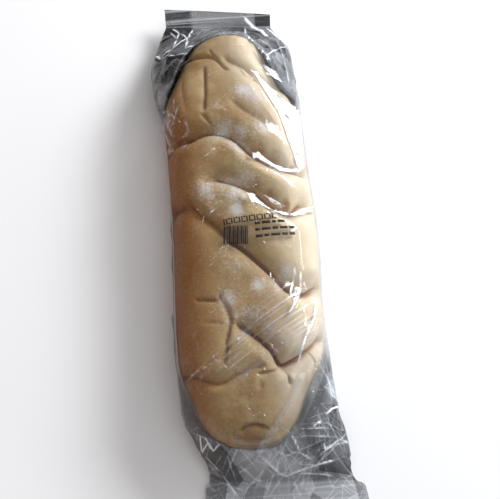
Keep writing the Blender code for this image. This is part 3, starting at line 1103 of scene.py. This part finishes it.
@dataclass(frozen=True)
class FilmFinish:
    """Clear glossy film: nearly unseen on the crust, greyer and hazier where it is creased, with
    painted light and shade on its facets and painted glints along its creases and fold crests.
    """

    tint: Colour = (0.62, 0.64, 0.68, 1.0)
    smoke: Colour = (0.10, 0.104, 0.112, 1.0)
    deep: Colour = (0.018, 0.018, 0.019, 1.0)
    haze_and_glint: Colour = (0.86, 0.89, 0.94, 1.0)
    roughness: float = 0.07
    hazy_roughness: float = 0.42
    creased_shine: float = 0.06
    dull_shine: float = 0.25
    index: float = 1.5
    edge_gloss: float = 0.5
    haze_cover: float = 0.34
    glint_cover: float = 0.45
    shaded_cover: float = 0.3
    broad_turn: float = 25.0
    broad_per_metre: float = 45.0
    broad_facet_light: float = 0.22
    small_turn: float = -40.0
    small_per_metre: float = 95.0
    small_facet_light: float = 0.12
    small_relief: float = 0.4
    facet_edge_light: float = 0.14
    edge_width: float = 0.03
    crease_line_light: float = 0.22
    weld_haze: float = 0.3
    bump_strength: float = 0.6
    bump_distance: float = 0.001

    def material(self) -> bpy.types.Material:
        """Builds the film's material."""
        material, n, shader = new_finish("clear_film")
        place = n.place()
        # Painted glints along the folds' crests are read as their own attribute.
        ends, weld, deep, glint_and_wear = (n.painted(name) for name in ("ends", "weld", "depth", "glint_and_wear"))
        creased = n.math("MAXIMUM", ends, weld)
        lines = self._creases(n, place)
        broad_edge, broad_tone = self._facets(n, place, self.broad_turn, self.broad_per_metre)
        small_edge, small_tone = self._facets(n, place, self.small_turn, self.small_per_metre)
        # Painted light and shade on the facets, with painted glints along their edges and along the
        # crease lines.
        tone = n.total(n.product(broad_tone, self.broad_facet_light), n.product(small_tone, self.small_facet_light))
        edges = n.product(n.ramp(small_edge, 0.0, self.edge_width, self.facet_edge_light, 0.0), broad_tone)
        crumpled = n.total(tone, edges, n.product(lines, self.crease_line_light))
        crumpled = n.product(crumpled, ends, n.ramp(deep, 0.0, 1.0, 1.0, 0.1))
        # Painted light streaks where the film is drawn tight.
        taut = n.product(self._drawn_lines(n, place), n.painted("taut"))
        ribbed = n.product(self._weld_lines(n, place), weld, self.weld_haze)
        # Haze, mixed with painted facet light, painted light streaks and painted glints.
        haze_and_glint = n.total(n.painted("haze_and_glint"), crumpled, ribbed, taut, glint_and_wear, clamp=True)
        shaded = n.product(ends, n.ramp(broad_tone, 0.0, 0.55, 1.0, 0.0), n.painted("patchy"))
        smoke = n.mix(n.math("MAXIMUM", deep, shaded), self.smoke, self.deep)
        clear = n.mix(creased, self.tint, smoke)
        n.link(n.mix(n.ramp(haze_and_glint, 0.0, 0.7), clear, self.haze_and_glint), shader.inputs["Base Color"])
        rough = n.ramp(haze_and_glint, 0.0, 1.0, self.roughness, self.hazy_roughness)
        n.link(rough, shader.inputs["Roughness"])
        shine = n.ramp(creased, 0.0, 1.0, 1.0, self.creased_shine)
        n.link(n.product(shine, n.math("SUBTRACT", 1.0, haze_and_glint)), shader.inputs["Metallic"])
        shader.inputs["Specular IOR Level"].default_value = self.dull_shine
        facets = n.total(broad_edge, n.product(small_edge, self.small_relief))
        normal = n.bump(self._relief(n, place, facets, lines), self.bump_strength, self.bump_distance)
        n.link(normal, shader.inputs["Normal"])
        fresnel = n.add("ShaderNodeFresnel")
        fresnel.inputs["IOR"].default_value = self.index
        n.link(normal, fresnel.inputs["Normal"])
        body = n.total(
            n.painted("veil"),
            n.product(haze_and_glint, self.haze_cover),
            n.product(glint_and_wear, self.glint_cover),
            n.product(shaded, self.shaded_cover),
        )
        edge = n.product(fresnel.outputs[0], n.painted("gloss"), self.edge_gloss)
        n.link(n.total(body, edge, clamp=True), shader.inputs["Alpha"])
        return material

    @staticmethod
    def _weld_lines(n: Nodes, place: Socket) -> Socket:
        """A mask of fine lines along the welds."""
        grooves = n.noise(n.turned(place, -1.5, (7.0, 480.0, 6.0)), 1.0, 1.0, 0.5)
        return n.ramp(grooves, 0.45, 0.68)

    @staticmethod
    def _drawn_lines(n: Nodes, place: Socket) -> Socket:
        """A mask of fine straight streaks of painted light where the film is drawn tight."""
        drawn = n.noise(n.turned(place, 31.0, (9.0, 520.0, 20.0)), 1.0, 1.0, 0.6)
        return n.ramp(drawn, 0.5, 0.62)

    @staticmethod
    def _relief(n: Nodes, place: Socket, facets: Socket, lines: Socket) -> Socket:
        """Height of the film's fine relief: facets, crease lines and the ribs of the welds.

        Args:
            n: The material's nodes.
            place: The place on the film.
            facets: Distance to the nearest facet's edge.
            lines: Mask of the fine crease lines.

        Returns:
            The height to press into the film.
        """
        ribs = n.noise(n.turned(place, 2.0, (900.0, 25.0, 25.0)), 1.0, 1.0, 0.5)
        grooves = n.noise(n.turned(place, -1.5, (6.0, 620.0, 6.0)), 1.0, 1.0, 0.5)
        drawn = n.noise(n.turned(place, 33.0, (25.0, 420.0, 60.0)), 1.0, 2.0, 0.5)
        welded = n.product(n.total(n.product(ribs, 0.5), grooves), n.painted("weld"))
        free = n.product(facets, n.painted("ends"), 0.7)
        return n.total(free, n.product(lines, 0.35), n.product(drawn, 0.12), n.product(welded, 0.6))

    @staticmethod
    def _facets(n: Nodes, place: Socket, turn: float, per_metre: float) -> tuple[Socket, Socket]:
        """Flat facets between straight creases.

        Args:
            n: The material's nodes.
            place: The place on the film.
            turn: Direction that the facets are drawn out along, in degrees.
            per_metre: How many facets a metre holds.

        Returns:
            The distance to the nearest crease, and a tone for each facet, which paints light and shade
            on the facets.
        """
        drawn = n.turned(place, turn, (1.0, 0.45, 1.0))
        found = []
        for feature, output in (("DISTANCE_TO_EDGE", "Distance"), ("F1", "Color")):
            cells = n.add("ShaderNodeTexVoronoi", feature=feature)
            n.link(drawn, cells.inputs["Vector"])
            cells.inputs["Scale"].default_value = per_metre
            found.append(cells.outputs[output])
        return found[0], n.ramp(found[1], 0.3, 0.8)

    @staticmethod
    def _creases(n: Nodes, place: Socket) -> Socket:
        """A mask of fine lines that run a few ways across the film."""
        total: object = 0.0
        for turn, size in ((18.0, 1.0), (-38.0, 1.25), (68.0, 0.9), (118.0, 1.1)):
            drawn = n.noise(n.turned(place, turn, (16.0 * size, 190.0 * size, 40.0)), 1.0, 0.0, 0.5)
            off = n.math("ABSOLUTE", n.math("SUBTRACT", drawn, 0.5))
            line = n.ramp(off, 0.0, 0.016, 1.0, 0.0)
            broken = n.noise(n.turned(place, turn, (40.0, 60.0, 50.0)), 1.0, 1.0, 0.5)
            total = n.total(total, n.product(line, n.ramp(broken, 0.5, 0.6)))
        return total


@dataclass(frozen=True)
class Strip:
    """A narrow strip of haze along a line on the film, in mm."""

    line: Line
    width: float
    strength: float

    def reading(self, x: Array, y: Array) -> Array:
        """How much haze the strip gives each point."""
        best = np.full(x.shape, np.inf)
        for a, b in zip(self.line, self.line[1:]):
            run = np.array(b, float) - a
            t = np.clip(((x - a[0]) * run[0] + (y - a[1]) * run[1]) / (run @ run), 0.0, 1.0)
            best = np.minimum(best, np.hypot(x - a[0] - t * run[0], y - a[1] - t * run[1]))
        return self.strength * smoothstep(self.width * 1.4, self.width * 0.7, best)


# The strip by the head seal is a painted glint; the others are hazy folded bands.
HAZE_AND_GLINT_STRIPS: tuple[Strip, ...] = (
    Strip(((-7, -133), (4, -121), (14, -108), (20, -96)), 1.9, 0.42),
    Strip(((20, -96), (30, -84), (36, -76)), 1.5, 0.25),
    Strip(((12, 155), (18, 147), (24, 137)), 1.2, 0.5),
)


@dataclass(frozen=True)
class FilmShares:
    """How much each part of the pack gives to what is painted on the film."""

    upper_dark: float = 1.1
    lower_dark: float = 0.35
    upright_density: float = 0.4
    tail_weld_haze: float = 0.08
    tail_weld_ease: float = 0.65
    tail_patches: float = 0.35
    left_gloss: float = 0.12
    end_dulling: float = 0.6
    facet_gloss: float = 3.5
    head_depth: float = 0.4
    dark_depth: float = 0.6
    doubled_depth: float = 0.8
    left_depth: float = 0.7
    least_veil: float = 0.008
    right_veil: float = 0.014
    end_veil: float = 0.37
    head_veil: float = 0.28
    lit_veil: float = 0.2
    lit_tail: float = 0.5
    dark_veil: float = 0.5
    weld_veil: float = 0.42
    head_weld_veil: float = 0.1
    doubled_veil: float = 0.25
    left_veil: float = 0.5


@dataclass
class FilmPack:
    """The sealed tube of film round the loaf: two films, joined at the sides and welded at the ends.

    Each row of the stations gives a place along Y, then the pack's middle and half
    width there, the height of its side joins, the rise of the upper film over them,
    the drop of the lower one, how square the section is, and how much the station
    leads along Y towards the right. All but the last two are in mm.
    """

    form: LoafForm = field(default_factory=LoafForm)
    finish: FilmFinish = field(default_factory=FilmFinish)
    cells_across: int = 138
    cells_along: int = 345
    gap: float = 0.8
    join_blend: float = 2.5
    least_gap: float = 0.35
    bridge: float = 0.42
    bridge_head: float = 0.9
    bridge_tail: float = 1.1
    lower_extra_squareness: float = 0.9
    end_density: float = 2.3
    lean: float = 0.30
    crust_share: float = 1.32
    bridge_floor: float = 2.0
    rim_rate: float = 12.0
    fold_limit: float = 2.4
    fold_floor: float = 0.15
    film_floor: float = 0.1
    search_reach: float = 9.0
    weld_threshold: float = 0.00001
    shares: FilmShares = field(default_factory=FilmShares)
    stations: Stations = field(
        default_factory=lambda: Stations(
            (
                (162.5, -7.1, 36.0, 12.0, 0.7, 0.7, 2.0, -0.15),
                (151.5, -7.4, 35.6, 11.0, 0.8, 0.7, 2.0, -0.10),
                (147.0, -7.4, 37.5, 11.0, 5.5, 4.5, 1.7, -0.08),
                (138.0, -7.2, 41.6, 12.0, 13.5, 9.5, 1.7, -0.04),
                (128.0, -6.9, 45.6, 14.0, 20.5, 13.5, 1.75, 0.0),
                (116.0, -7.7, 47.2, 16.5, 25.0, 16.3, 1.9, 0.0),
                (98.0, -6.9, 46.8, 18.5, 28.0, 18.9, 2.1, 0.0),
                (78.0, -4.9, 45.5, 20.0, 30.4, 20.4, 2.25, 0.0),
                (58.0, -4.4, 45.0, 20.0, 30.8, 20.6, 2.25, 0.0),
                (30.0, -4.2, 45.2, 20.0, 30.8, 20.6, 2.25, 0.0),
                (8.0, -3.2, 45.3, 20.0, 30.8, 20.6, 2.25, 0.0),
                (-20.0, -3.9, 45.6, 20.0, 30.8, 20.6, 2.25, 0.0),
                (-60.0, -6.2, 45.4, 20.0, 30.8, 20.4, 2.25, 0.0),
                (-80.0, -6.0, 45.9, 19.5, 30.0, 20.0, 2.2, 0.0),
                (-100.0, -5.2, 45.9, 17.0, 27.0, 17.4, 2.0, 0.0),
                (-114.0, -3.9, 45.5, 14.0, 24.5, 14.2, 1.85, 0.0),
                (-124.0, 0.1, 44.3, 11.5, 21.0, 11.6, 1.75, -0.02),
                (-134.0, 2.9, 43.0, 8.2, 15.5, 8.2, 1.7, -0.05),
                (-144.0, 3.9, 41.6, 4.8, 7.0, 4.6, 1.7, -0.08),
                (-151.0, 5.0, 43.2, 2.6, 0.9, 0.8, 2.0, -0.08),
                (-154.0, 6.2, 46.8, 2.4, 0.7, 0.7, 2.0, -0.075),
                (-164.0, 6.6, 48.0, 2.0, 0.7, 0.7, 2.0, -0.06),
            )
        )
    )

    def build(self, loaf: Piece) -> Piece:
        """Builds the whole film round the loaf.

        Args:
            loaf: The finished loaf, which the film stays clear of.

        Returns:
            The finished piece.
        """
        piece = self._flat_tube()
        flat = points_of(piece) * MM
        upper = flat[:, 2] > -0.5
        across, station = flat[:, 0], self._station_at((flat[:, 1] + 1) / 2)
        values = self.stations.read(station)
        share = self._share(across, values[5])
        middle, half, lead = values[0], values[1], values[6]
        x = middle + np.sign(across) * half * share
        y = station + lead * (x - middle)
        z = np.where(upper, self._upper(x, y, across, share, values), self._lower(share, values))
        place_points(piece, np.stack([x, y, z], axis=1))
        self._crumple(piece, upper, x, y, station)
        self._clear_of(piece, loaf)
        self._dress(piece, upper, station)
        deselect_all()
        piece.select_set(True)
        bpy.context.view_layer.objects.active = piece
        bpy.ops.object.mode_set(mode="EDIT")
        bpy.ops.mesh.select_all(action="SELECT")
        bpy.ops.mesh.remove_doubles(threshold=self.weld_threshold)
        bpy.ops.object.mode_set(mode="OBJECT")
        piece.data.materials.append(self.finish.material())
        finish_piece(piece)
        return piece

    def _flat_tube(self) -> Piece:
        """A flat box with a net of cells above and below, to be blown up into the pack."""
        deselect_all()
        bpy.ops.mesh.primitive_grid_add(
            x_subdivisions=self.cells_across, y_subdivisions=self.cells_along, size=2.0
        )
        piece = bpy.context.active_object
        piece.name = piece.data.name = "film"
        bpy.ops.object.mode_set(mode="EDIT")
        bpy.ops.mesh.select_all(action="SELECT")
        bpy.ops.mesh.extrude_region_move(TRANSFORM_OT_translate={"value": (0.0, 0.0, -1.0)})
        bpy.ops.mesh.select_all(action="SELECT")
        bpy.ops.mesh.normals_make_consistent(inside=False)
        bpy.ops.object.mode_set(mode="OBJECT")
        return piece

    def _station_at(self, along: Array) -> Array:
        """Place along Y for each share of the net, with finer cells at the crumpled ends."""
        places = np.linspace(self.stations.places[0], self.stations.places[-1], 400)
        ends = np.maximum(smoothstep(-92.0, -118.0, places), smoothstep(100.0, 124.0, places))
        passed = np.concatenate([[0.0], np.cumsum(1 + (self.end_density - 1) * ends[1:])])
        return np.interp(along, passed / passed[-1], places)

    @staticmethod
    def _share(across: Array, squareness: Array) -> Array:
        """Share of the half width for each place across the net."""
        return np.sin(np.abs(across) * math.pi / 2) ** (2 / squareness)

    def _upper(self, x: Array, y: Array, across: Array, share: Array, values: Array) -> Array:
        """Height of the upper film: a pillow, or laid over the crust where that is higher."""
        _, half, mid, rise, _, squareness, _ = values
        film = mid + rise * (1 - share**squareness) ** (1 / squareness)
        over = (self.form.height(x, y) + self.gap - film) / self.join_blend
        film = film + self.join_blend * np.logaddexp(0.0, over) * (1 - share**8)
        dip = np.zeros_like(x)
        s = across * self.crust_share * half
        for crease in SLASHES.values():
            head_reach = crease.head_reach * self.bridge_head
            tail_reach = crease.tail_reach * self.bridge_tail
            near, distance, side, taper = crease.measure(s, y, max(head_reach, tail_reach))
            own = np.where(side >= 0, head_reach, tail_reach)
            off_floor = np.hypot(distance, self.bridge_floor) - 1.0
            left = (1 - np.clip(off_floor / own, 0.0, 1.0)) ** 2
            dip[near] = np.maximum(dip[near], crease.depth * crease.draws * self.bridge * taper * left)
        held = np.clip((1 - np.abs(across)) * self.rim_rate, 0.0, 1.0)
        film = film - dip * held
        for facet in FACETS:
            film = film + (facet.height(x, y) - film) * facet.cover(x, y) * held
        return np.maximum(film, mid)

    def _lower(self, share: Array, values: Array) -> Array:
        """Height of the lower film, flat where the pack rests."""
        mid, drop, squareness = values[2], values[4], values[5] + self.lower_extra_squareness
        return np.maximum(mid - drop * (1 - share**squareness) ** (1 / squareness), 0.0)

    @staticmethod
    def _upper_folds() -> list[Fold]:
        """All the folds of the upper film, drawn the same way each time."""
        return [*DRAWN_FOLDS, *(fold for zone in CRUMPLES for fold in zone.folds())]

    def _crumple(self, piece: Piece, upper: Array, x: Array, y: Array, station: Array) -> None:
        """Presses the folds into both films.

        Args:
            piece: The smooth pack.
            upper: Which points are on the upper film.
            x: Place of each point across.
            y: Place of each point along.
            station: Station of each point.
        """
        points, outward = points_of(piece), normals_of(piece)
        lift = np.zeros_like(x)
        for side, folds in (
            (Side.UPPER, self._upper_folds()),
            (Side.LOWER, [fold for zone in LOWER_CRUMPLES for fold in zone.folds()]),
        ):
            own = np.flatnonzero(upper if side is Side.UPPER else ~upper)
            for fold in folds:
                reach = max(fold.length, fold.width)
                near = own[(np.abs(y[own] - fold.y) < reach) & (np.abs(x[own] - fold.x) < reach)]
                lift[near] += fold.lift(x[near], y[near])
        free = smoothstep(-151.0, -145.0, station) * smoothstep(151.0, 146.0, station)
        lift = np.clip(lift, -self.fold_limit, self.fold_limit) * free
        moved = points + outward * lift[:, None]
        moved[:, 2] = np.maximum(moved[:, 2], self.fold_floor)
        place_points(piece, moved)

    def _clear_of(self, piece: Piece, loaf: Piece) -> None:
        """Pushes the film out of the crust wherever it comes nearer than the least gap."""
        tree = BVHTree.FromObject(loaf, bpy.context.evaluated_depsgraph_get())
        points = points_of(piece)
        for i, point in enumerate(points):
            spot, outward, _, _ = tree.find_nearest(Vector(point * MM), self.search_reach * MM)
            if spot is None:
                continue
            off = np.array(spot) / MM
            facing = np.array(outward)
            if (point - off) @ facing < self.least_gap:
                points[i] = off + facing * self.least_gap
        points[:, 2] = np.maximum(points[:, 2], self.film_floor)
        place_points(piece, points)

    def _dress(self, piece: Piece, upper: Array, station: Array) -> None:
        """Paints how creased, how hazy and how dense the film is, and its painted glints along fold
        crests.

        Args:
            piece: The pack in its final form.
            upper: Which points are on the upper film.
            station: Station of each point.
        """
        own = self.shares
        points = points_of(piece)
        x, y, z = points.T
        middle, half = self.form.section(y + (z - self.form.mid_height) * self.lean)
        beside = smoothstep(0.98, 1.09, np.abs(x - middle) / np.maximum(half, 0.01))
        near_end = np.maximum(smoothstep(70.0, 98.0, y), smoothstep(-70.0, -92.0, y))
        ends = beside * near_end
        dark = ends * sum(spot.reading(x, y) for spot in DARK_SPOTS)
        dark = dark * np.where(upper, own.upper_dark, own.lower_dark)
        weld = np.maximum(smoothstep(150.6, 151.6, station), smoothstep(-151.0, -152.0, station))
        head = smoothstep(60.0, 110.0, y)
        tail_weld = weld * (1 - head)
        folded = np.maximum(smoothstep(-24.0, -27.0, x), smoothstep(17.0, 19.0, x))
        doubled = weld * head * folded
        leftward = (middle - x) / np.maximum(half, 1.0)
        rim = smoothstep(0.92, 1.0, leftward) * smoothstep(30.0, 0.0, y)
        left = smoothstep(0.90, 1.0, leftward) * smoothstep(40.0, 0.0, y) * (1 - ends)
        left = left * smoothstep(-118.0, -100.0, y)
        left = left * smoothstep(15.0, 19.0, z) * smoothstep(28.0, 23.0, z)
        level = smoothstep(0.1, 0.5, np.abs(normals_of(piece)[:, 2]))
        dense = own.upright_density + (1 - own.upright_density) * level
        right = smoothstep(-34.0, -8.0, x)
        haze_and_glint = np.where(upper, self._haze(x, y), 0.0)
        paint(piece, "haze_and_glint", haze_and_glint + own.tail_weld_haze * tail_weld)
        # Painted glints along the fold crests.
        paint(piece, "glint_and_wear", self._glint(x, y, upper))
        paint(piece, "ends", np.maximum(ends, rim) * (1 - weld * head))
        paint(piece, "weld", weld - own.tail_weld_ease * tail_weld)
        paint(piece, "patchy", own.tail_patches + (1 - own.tail_patches) * head)
        taut = sum(spot.reading(x, y) for spot in TAUT_SPOTS)
        paint(piece, "taut", np.where(upper, taut, 0.0))
        flat = np.max([facet.cover(x, y) for facet in FACETS], axis=0)
        gloss = own.left_gloss + (1 - own.left_gloss) * right
        paint(piece, "gloss", gloss * (1 - own.end_dulling * ends) + own.facet_gloss * flat)
        depth = (own.head_depth * head * ends + own.dark_depth * dark) * dense
        depth = depth + own.doubled_depth * doubled + own.left_depth * left
        paint(piece, "depth", np.clip(depth, 0.0, 1.0))
        lit = smoothstep(20.0, 36.0, x)
        lit = lit * (1 + own.lit_tail * smoothstep(-60.0, -90.0, y))
        smoky = own.end_veil + own.head_veil * head + own.lit_veil * lit
        smoky = ends * (1 - weld) * smoky + own.dark_veil * dark
        veil = own.least_veil + own.right_veil * right + smoky * dense
        veil = veil + (own.weld_veil + own.head_weld_veil * head) * weld
        paint(piece, "veil", veil + own.doubled_veil * doubled + own.left_veil * left)

    @staticmethod
    def _haze(x: Array, y: Array) -> Array:
        """How hazy the upper film is, in narrow strips and in patches, with one strip a painted glint
        by the head seal.
        """
        return sum(strip.reading(x, y) for strip in HAZE_AND_GLINT_STRIPS) + sum(
            spot.reading(x, y) for spot in HAZE_SPOTS
        )

    def _glint(self, x: Array, y: Array, upper: Array) -> Array:
        """Painted glints along the crests of the upper film's folds."""
        glint = np.zeros_like(x)
        for fold in self._upper_folds():
            if fold.shine:
                near = np.flatnonzero(upper & (np.hypot(x - fold.x, y - fold.y) < fold.length))
                glint[near] = np.maximum(glint[near], fold.glint(x[near], y[near]))
        return glint


@dataclass(frozen=True)
class InkFinish:
    """Black ink, a little thin in places."""

    dark: Colour = (0.012, 0.011, 0.012, 1.0)
    thin: Colour = (0.10, 0.085, 0.07, 1.0)
    roughness: float = 0.35
    shine: float = 0.15
    grains_per_metre: float = 1500.0

    def material(self) -> bpy.types.Material:
        """Builds the ink's material."""
        material, n, shader = new_finish("black_ink")
        grain = n.add("ShaderNodeGroup", node_tree=grain_group())
        n.link(n.place(), grain.inputs["Place"])
        grain.inputs["Grains per metre"].default_value = self.grains_per_metre
        # Specks where the ink is thin.
        glint_and_wear = n.product(grain.outputs["Specks"], 0.5)
        n.link(n.mix(glint_and_wear, self.dark, self.thin), shader.inputs["Base Color"])
        shader.inputs["Roughness"].default_value = self.roughness
        shader.inputs["Specular IOR Level"].default_value = self.shine
        return material


@dataclass(frozen=True)
class Stroke:
    """One plain printed bar, in mm: its middle, half sizes and turn in degrees."""

    x: float
    y: float
    half_long: float
    half_wide: float
    turn: float


@dataclass
class PrintedBlock:
    """Plain bars and dashes printed on the film, with no lettering."""

    finish: InkFinish = field(default_factory=InkFinish)
    bar_widths: tuple[float, ...] = (1.0, 0.4, 0.7, 1.2, 0.45, 0.9, 0.5, 1.3, 0.4, 1.0, 0.6, 0.9, 0.45)
    bar_gap: float = 0.36
    bars_left: float = -16.6
    bars_middle: float = -11.2
    bar_half_long: float = 5.4
    bar_turn: float = 83.4
    bars_slope: float = 0.115
    heading_left: float = -15.5
    heading_middle: float = -3.6
    heading_step: float = 1.5
    level_turn: float = 3.0
    rows: tuple[tuple[float, ...], ...] = (
        (3.4, 5.2, 2.4, 4.2),
        (3.0, 5.4, 3.6, 4.6, 3.2),
        (4.2, 3.0, 5.6, 3.6, 3.4),
    )
    rows_left: float = 2.0
    rows_top: float = -6.2
    row_step: float = 4.0
    dash_half_wide: float = 0.8
    dash_gap: float = 0.9
    lift: float = 0.12
    thickness: float = 0.06

    def build(self, film: Piece) -> list[Piece]:
        """Builds the printed pieces on the film.

        Args:
            film: The finished film that carries the print.

        Returns:
            The finished pieces.
        """
        tree = BVHTree.FromObject(film, bpy.context.evaluated_depsgraph_get())
        ink = self.finish.material()
        pieces = []
        for name, strokes in (
            ("print_bars", list(self._bars())),
            ("print_heading", list(self._heading())),
            ("print_rows", list(self._rows())),
        ):
            piece = self._printed(name, strokes, tree)
            piece.data.materials.append(ink)
            finish_piece(piece)
            pieces.append(piece)
        return pieces

    def _bars(self) -> Iterator[Stroke]:
        """Upright bars of uneven width, side by side."""
        x = self.bars_left
        for width in self.bar_widths:
            y = self.bars_middle - (x - self.bars_left) * self.bars_slope
            yield Stroke(x + width / 2, y, self.bar_half_long, width / 2, self.bar_turn)
            x += width + self.bar_gap

    def _heading(self) -> Iterator[Stroke]:
        """A heading of thin upright strokes and short level ones."""
        turn = self.level_turn
        slope = math.tan(math.radians(turn))
        for k in range(21):
            x = self.heading_left + self.heading_step * k
            y = self.heading_middle + (x - self.heading_left) * slope
            if k % 3 == 2:
                yield Stroke(x, y + 1.5, 0.75, 0.4, turn)
                yield Stroke(x, y - 1.5, 0.75, 0.4, turn)
            else:
                yield Stroke(x, y, 1.75, 0.46, turn + 90.0)

    def _rows(self) -> Iterator[Stroke]:
        """Three short rows of dashes beside the bars."""
        for k, lengths in enumerate(self.rows):
            yield from self._dashes(self.rows_top - self.row_step * k, lengths)

    def _dashes(self, y: float, lengths: tuple[float, ...]) -> Iterator[Stroke]:
        """A row of dashes from its left end.

        Args:
            y: Height of the row's left end on the film.
            lengths: Length of each dash.

        Yields:
            The dashes, from left to right.
        """
        slope = math.tan(math.radians(self.level_turn))
        x = self.rows_left
        for length in lengths:
            middle = x + length / 2
            rise = (middle - self.rows_left) * slope
            yield Stroke(middle, y + rise, length / 2, self.dash_half_wide, self.level_turn)
            x += length + self.dash_gap

    def _printed(self, name: str, strokes: list[Stroke], tree: BVHTree) -> Piece:
        """Lays the strokes on the film and gives them the thickness of ink.

        Args:
            name: Name of the printed piece.
            strokes: Its bars or dashes.
            tree: The finished film, to find its top under each point.

        Returns:
            The printed piece.
        """
        deselect_all()
        parts = []
        for stroke in strokes:
            across = max(2, round(stroke.half_long * 1.6) + 1)
            bpy.ops.mesh.primitive_grid_add(x_subdivisions=across, y_subdivisions=2, size=2.0)
            part = bpy.context.active_object
            turn = math.radians(stroke.turn)
            flat = points_of(part) * MM
            along, over = flat[:, 0] * stroke.half_long, flat[:, 1] * stroke.half_wide
            x = stroke.x + along * math.cos(turn) - over * math.sin(turn)
            y = stroke.y + along * math.sin(turn) + over * math.cos(turn)
            z = np.array([self._film_height(tree, px, py) for px, py in zip(x, y)])
            place_points(part, np.stack([x, y, z + self.lift], axis=1))
            parts.append(part)
        for part in parts:
            part.select_set(True)
        bpy.context.view_layer.objects.active = parts[0]
        bpy.ops.object.join()
        piece = bpy.context.active_object
        piece.name = piece.data.name = name
        thick = piece.modifiers.new("ink", "SOLIDIFY")
        thick.thickness = self.thickness * MM
        thick.offset = 1.0
        bpy.ops.object.modifier_apply(modifier=thick.name)
        return piece

    @staticmethod
    def _film_height(tree: BVHTree, x: float, y: float) -> float:
        """Height of the film's top under the point, in mm."""
        hit = tree.ray_cast(Vector((x * MM, y * MM, 0.2)), Vector((0.0, 0.0, -1.0)))[0]
        return hit.z / MM


LAMP_TARGET = (0.0, 0.0, 0.02)


@dataclass(frozen=True)
class Softbox:
    """A rectangular lamp that faces the pack, in metres and watts."""

    name: str
    place: tuple[float, float, float]
    size: tuple[float, float]
    power: float
    colour: tuple[float, float, float]
    mirrored: bool

    def build(self) -> None:
        """Hangs the lamp."""
        bpy.ops.object.light_add(type="AREA", location=self.place)
        lamp = bpy.context.active_object
        lamp.name = self.name
        lamp.data.shape = "RECTANGLE"
        lamp.data.size, lamp.data.size_y = self.size
        lamp.data.energy = self.power
        lamp.data.color = self.colour
        lamp.visible_glossy = self.mirrored
        outward = Vector(self.place) - Vector(LAMP_TARGET)
        lamp.rotation_euler = outward.to_track_quat("Z", "Y").to_euler()


SOFTBOXES: tuple[Softbox, ...] = (
    Softbox("window", (1.28, 0.96, 0.86), (1.0, 0.5), 44.0, (0.95, 0.97, 1.0), True),
    Softbox("overhead", (0.7, 0.2, 1.6), (1.4, 1.4), 5.0, (1.0, 0.98, 0.95), False),
    Softbox("right_strip", (1.6, 0.15, 0.62), (0.7, 0.04), 2.6, (0.97, 0.98, 1.0), True),
    Softbox("left_strip", (-1.0, -0.1, 0.5), (0.9, 0.05), 0.9, (1.0, 0.6, 0.35), True),
    Softbox("top_strip", (-0.35, 0.62, 1.15), (0.9, 0.04), 1.2, (0.95, 0.97, 1.0), True),
)


@dataclass
class Studio:
    """Plain pale floor, soft lights and the camera at the photograph's angle."""

    target: tuple[float, float, float] = (-0.0012, -0.0121, 0.020)
    azimuth: float = -5.5
    elevation: float = 73.0
    distance: float = 0.52
    lens: float = 60.48
    sensor_width: float = 36.0
    floor_size: float = 6.0
    floor_drop: float = 0.0003
    floor_roughness: float = 0.7
    floor_colour: Colour = (0.92, 0.92, 0.92, 1.0)
    bright_side: tuple[float, float, float] = (0.92, 0.05, 0.39)
    bright_air: Colour = (0.38, 0.40, 0.43, 1.0)
    dim_air: Colour = (0.11, 0.07, 0.05, 1.0)

    def build(self) -> None:
        """Sets the whole scene round the pack."""
        self._floor()
        for softbox in SOFTBOXES:
            softbox.build()
        self._air()
        self._camera()

    def _floor(self) -> None:
        """A wide pale floor just under the pack."""
        deselect_all()
        bpy.ops.mesh.primitive_plane_add(
            size=self.floor_size, location=(0.0, 0.0, -self.floor_drop)
        )
        floor = bpy.context.active_object
        floor.name = "floor"
        material, n, shader = new_finish("pale_floor")
        cloud = n.noise(n.place(), 3.0, 2.0, 0.5)
        darker = tuple(c * 0.97 for c in self.floor_colour[:3]) + (1.0,)
        n.link(n.mix(cloud, self.floor_colour, darker), shader.inputs["Base Color"])
        shader.inputs["Roughness"].default_value = self.floor_roughness
        floor.data.materials.append(material)

    def _air(self) -> None:
        """Dim light from all round, brighter from the window's side."""
        world = bpy.data.worlds.new("studio_air")
        world.use_nodes = True
        n = Nodes(world.node_tree)
        facing = n.add("ShaderNodeVectorMath", operation="DOT_PRODUCT")
        n.link(n.add("ShaderNodeTexCoord").outputs["Generated"], facing.inputs[0])
        facing.inputs[1].default_value = self.bright_side
        share = n.ramp(facing.outputs["Value"], -0.55, 0.4)
        background = world.node_tree.nodes["Background"]
        n.link(n.mix(share, self.dim_air, self.bright_air), background.inputs["Color"])
        bpy.context.scene.world = world

    def _camera(self) -> None:
        """The camera, looking down along the photograph's line of sight."""
        around, up = math.radians(self.azimuth), math.radians(self.elevation)
        level = math.cos(up)
        back = Vector((math.sin(around) * level, -math.cos(around) * level, math.sin(up)))
        bpy.ops.object.camera_add(location=Vector(self.target) + back * self.distance)
        camera = bpy.context.active_object
        camera.rotation_euler = back.to_track_quat("Z", "Y").to_euler()
        camera.data.lens = self.lens
        camera.data.sensor_width = self.sensor_width
        bpy.context.scene.camera = camera
        bpy.context.scene.view_settings.view_transform = "Standard"


def main() -> None:
    """Builds the pack and the studio round it."""
    logging.basicConfig(level=logging.INFO, format="%(name)s: %(message)s")
    loaf = Loaf().build()
    film = FilmPack().build(loaf)
    PrintedBlock().build(film)
    Studio().build()


if __name__ == "__main__":
    main()
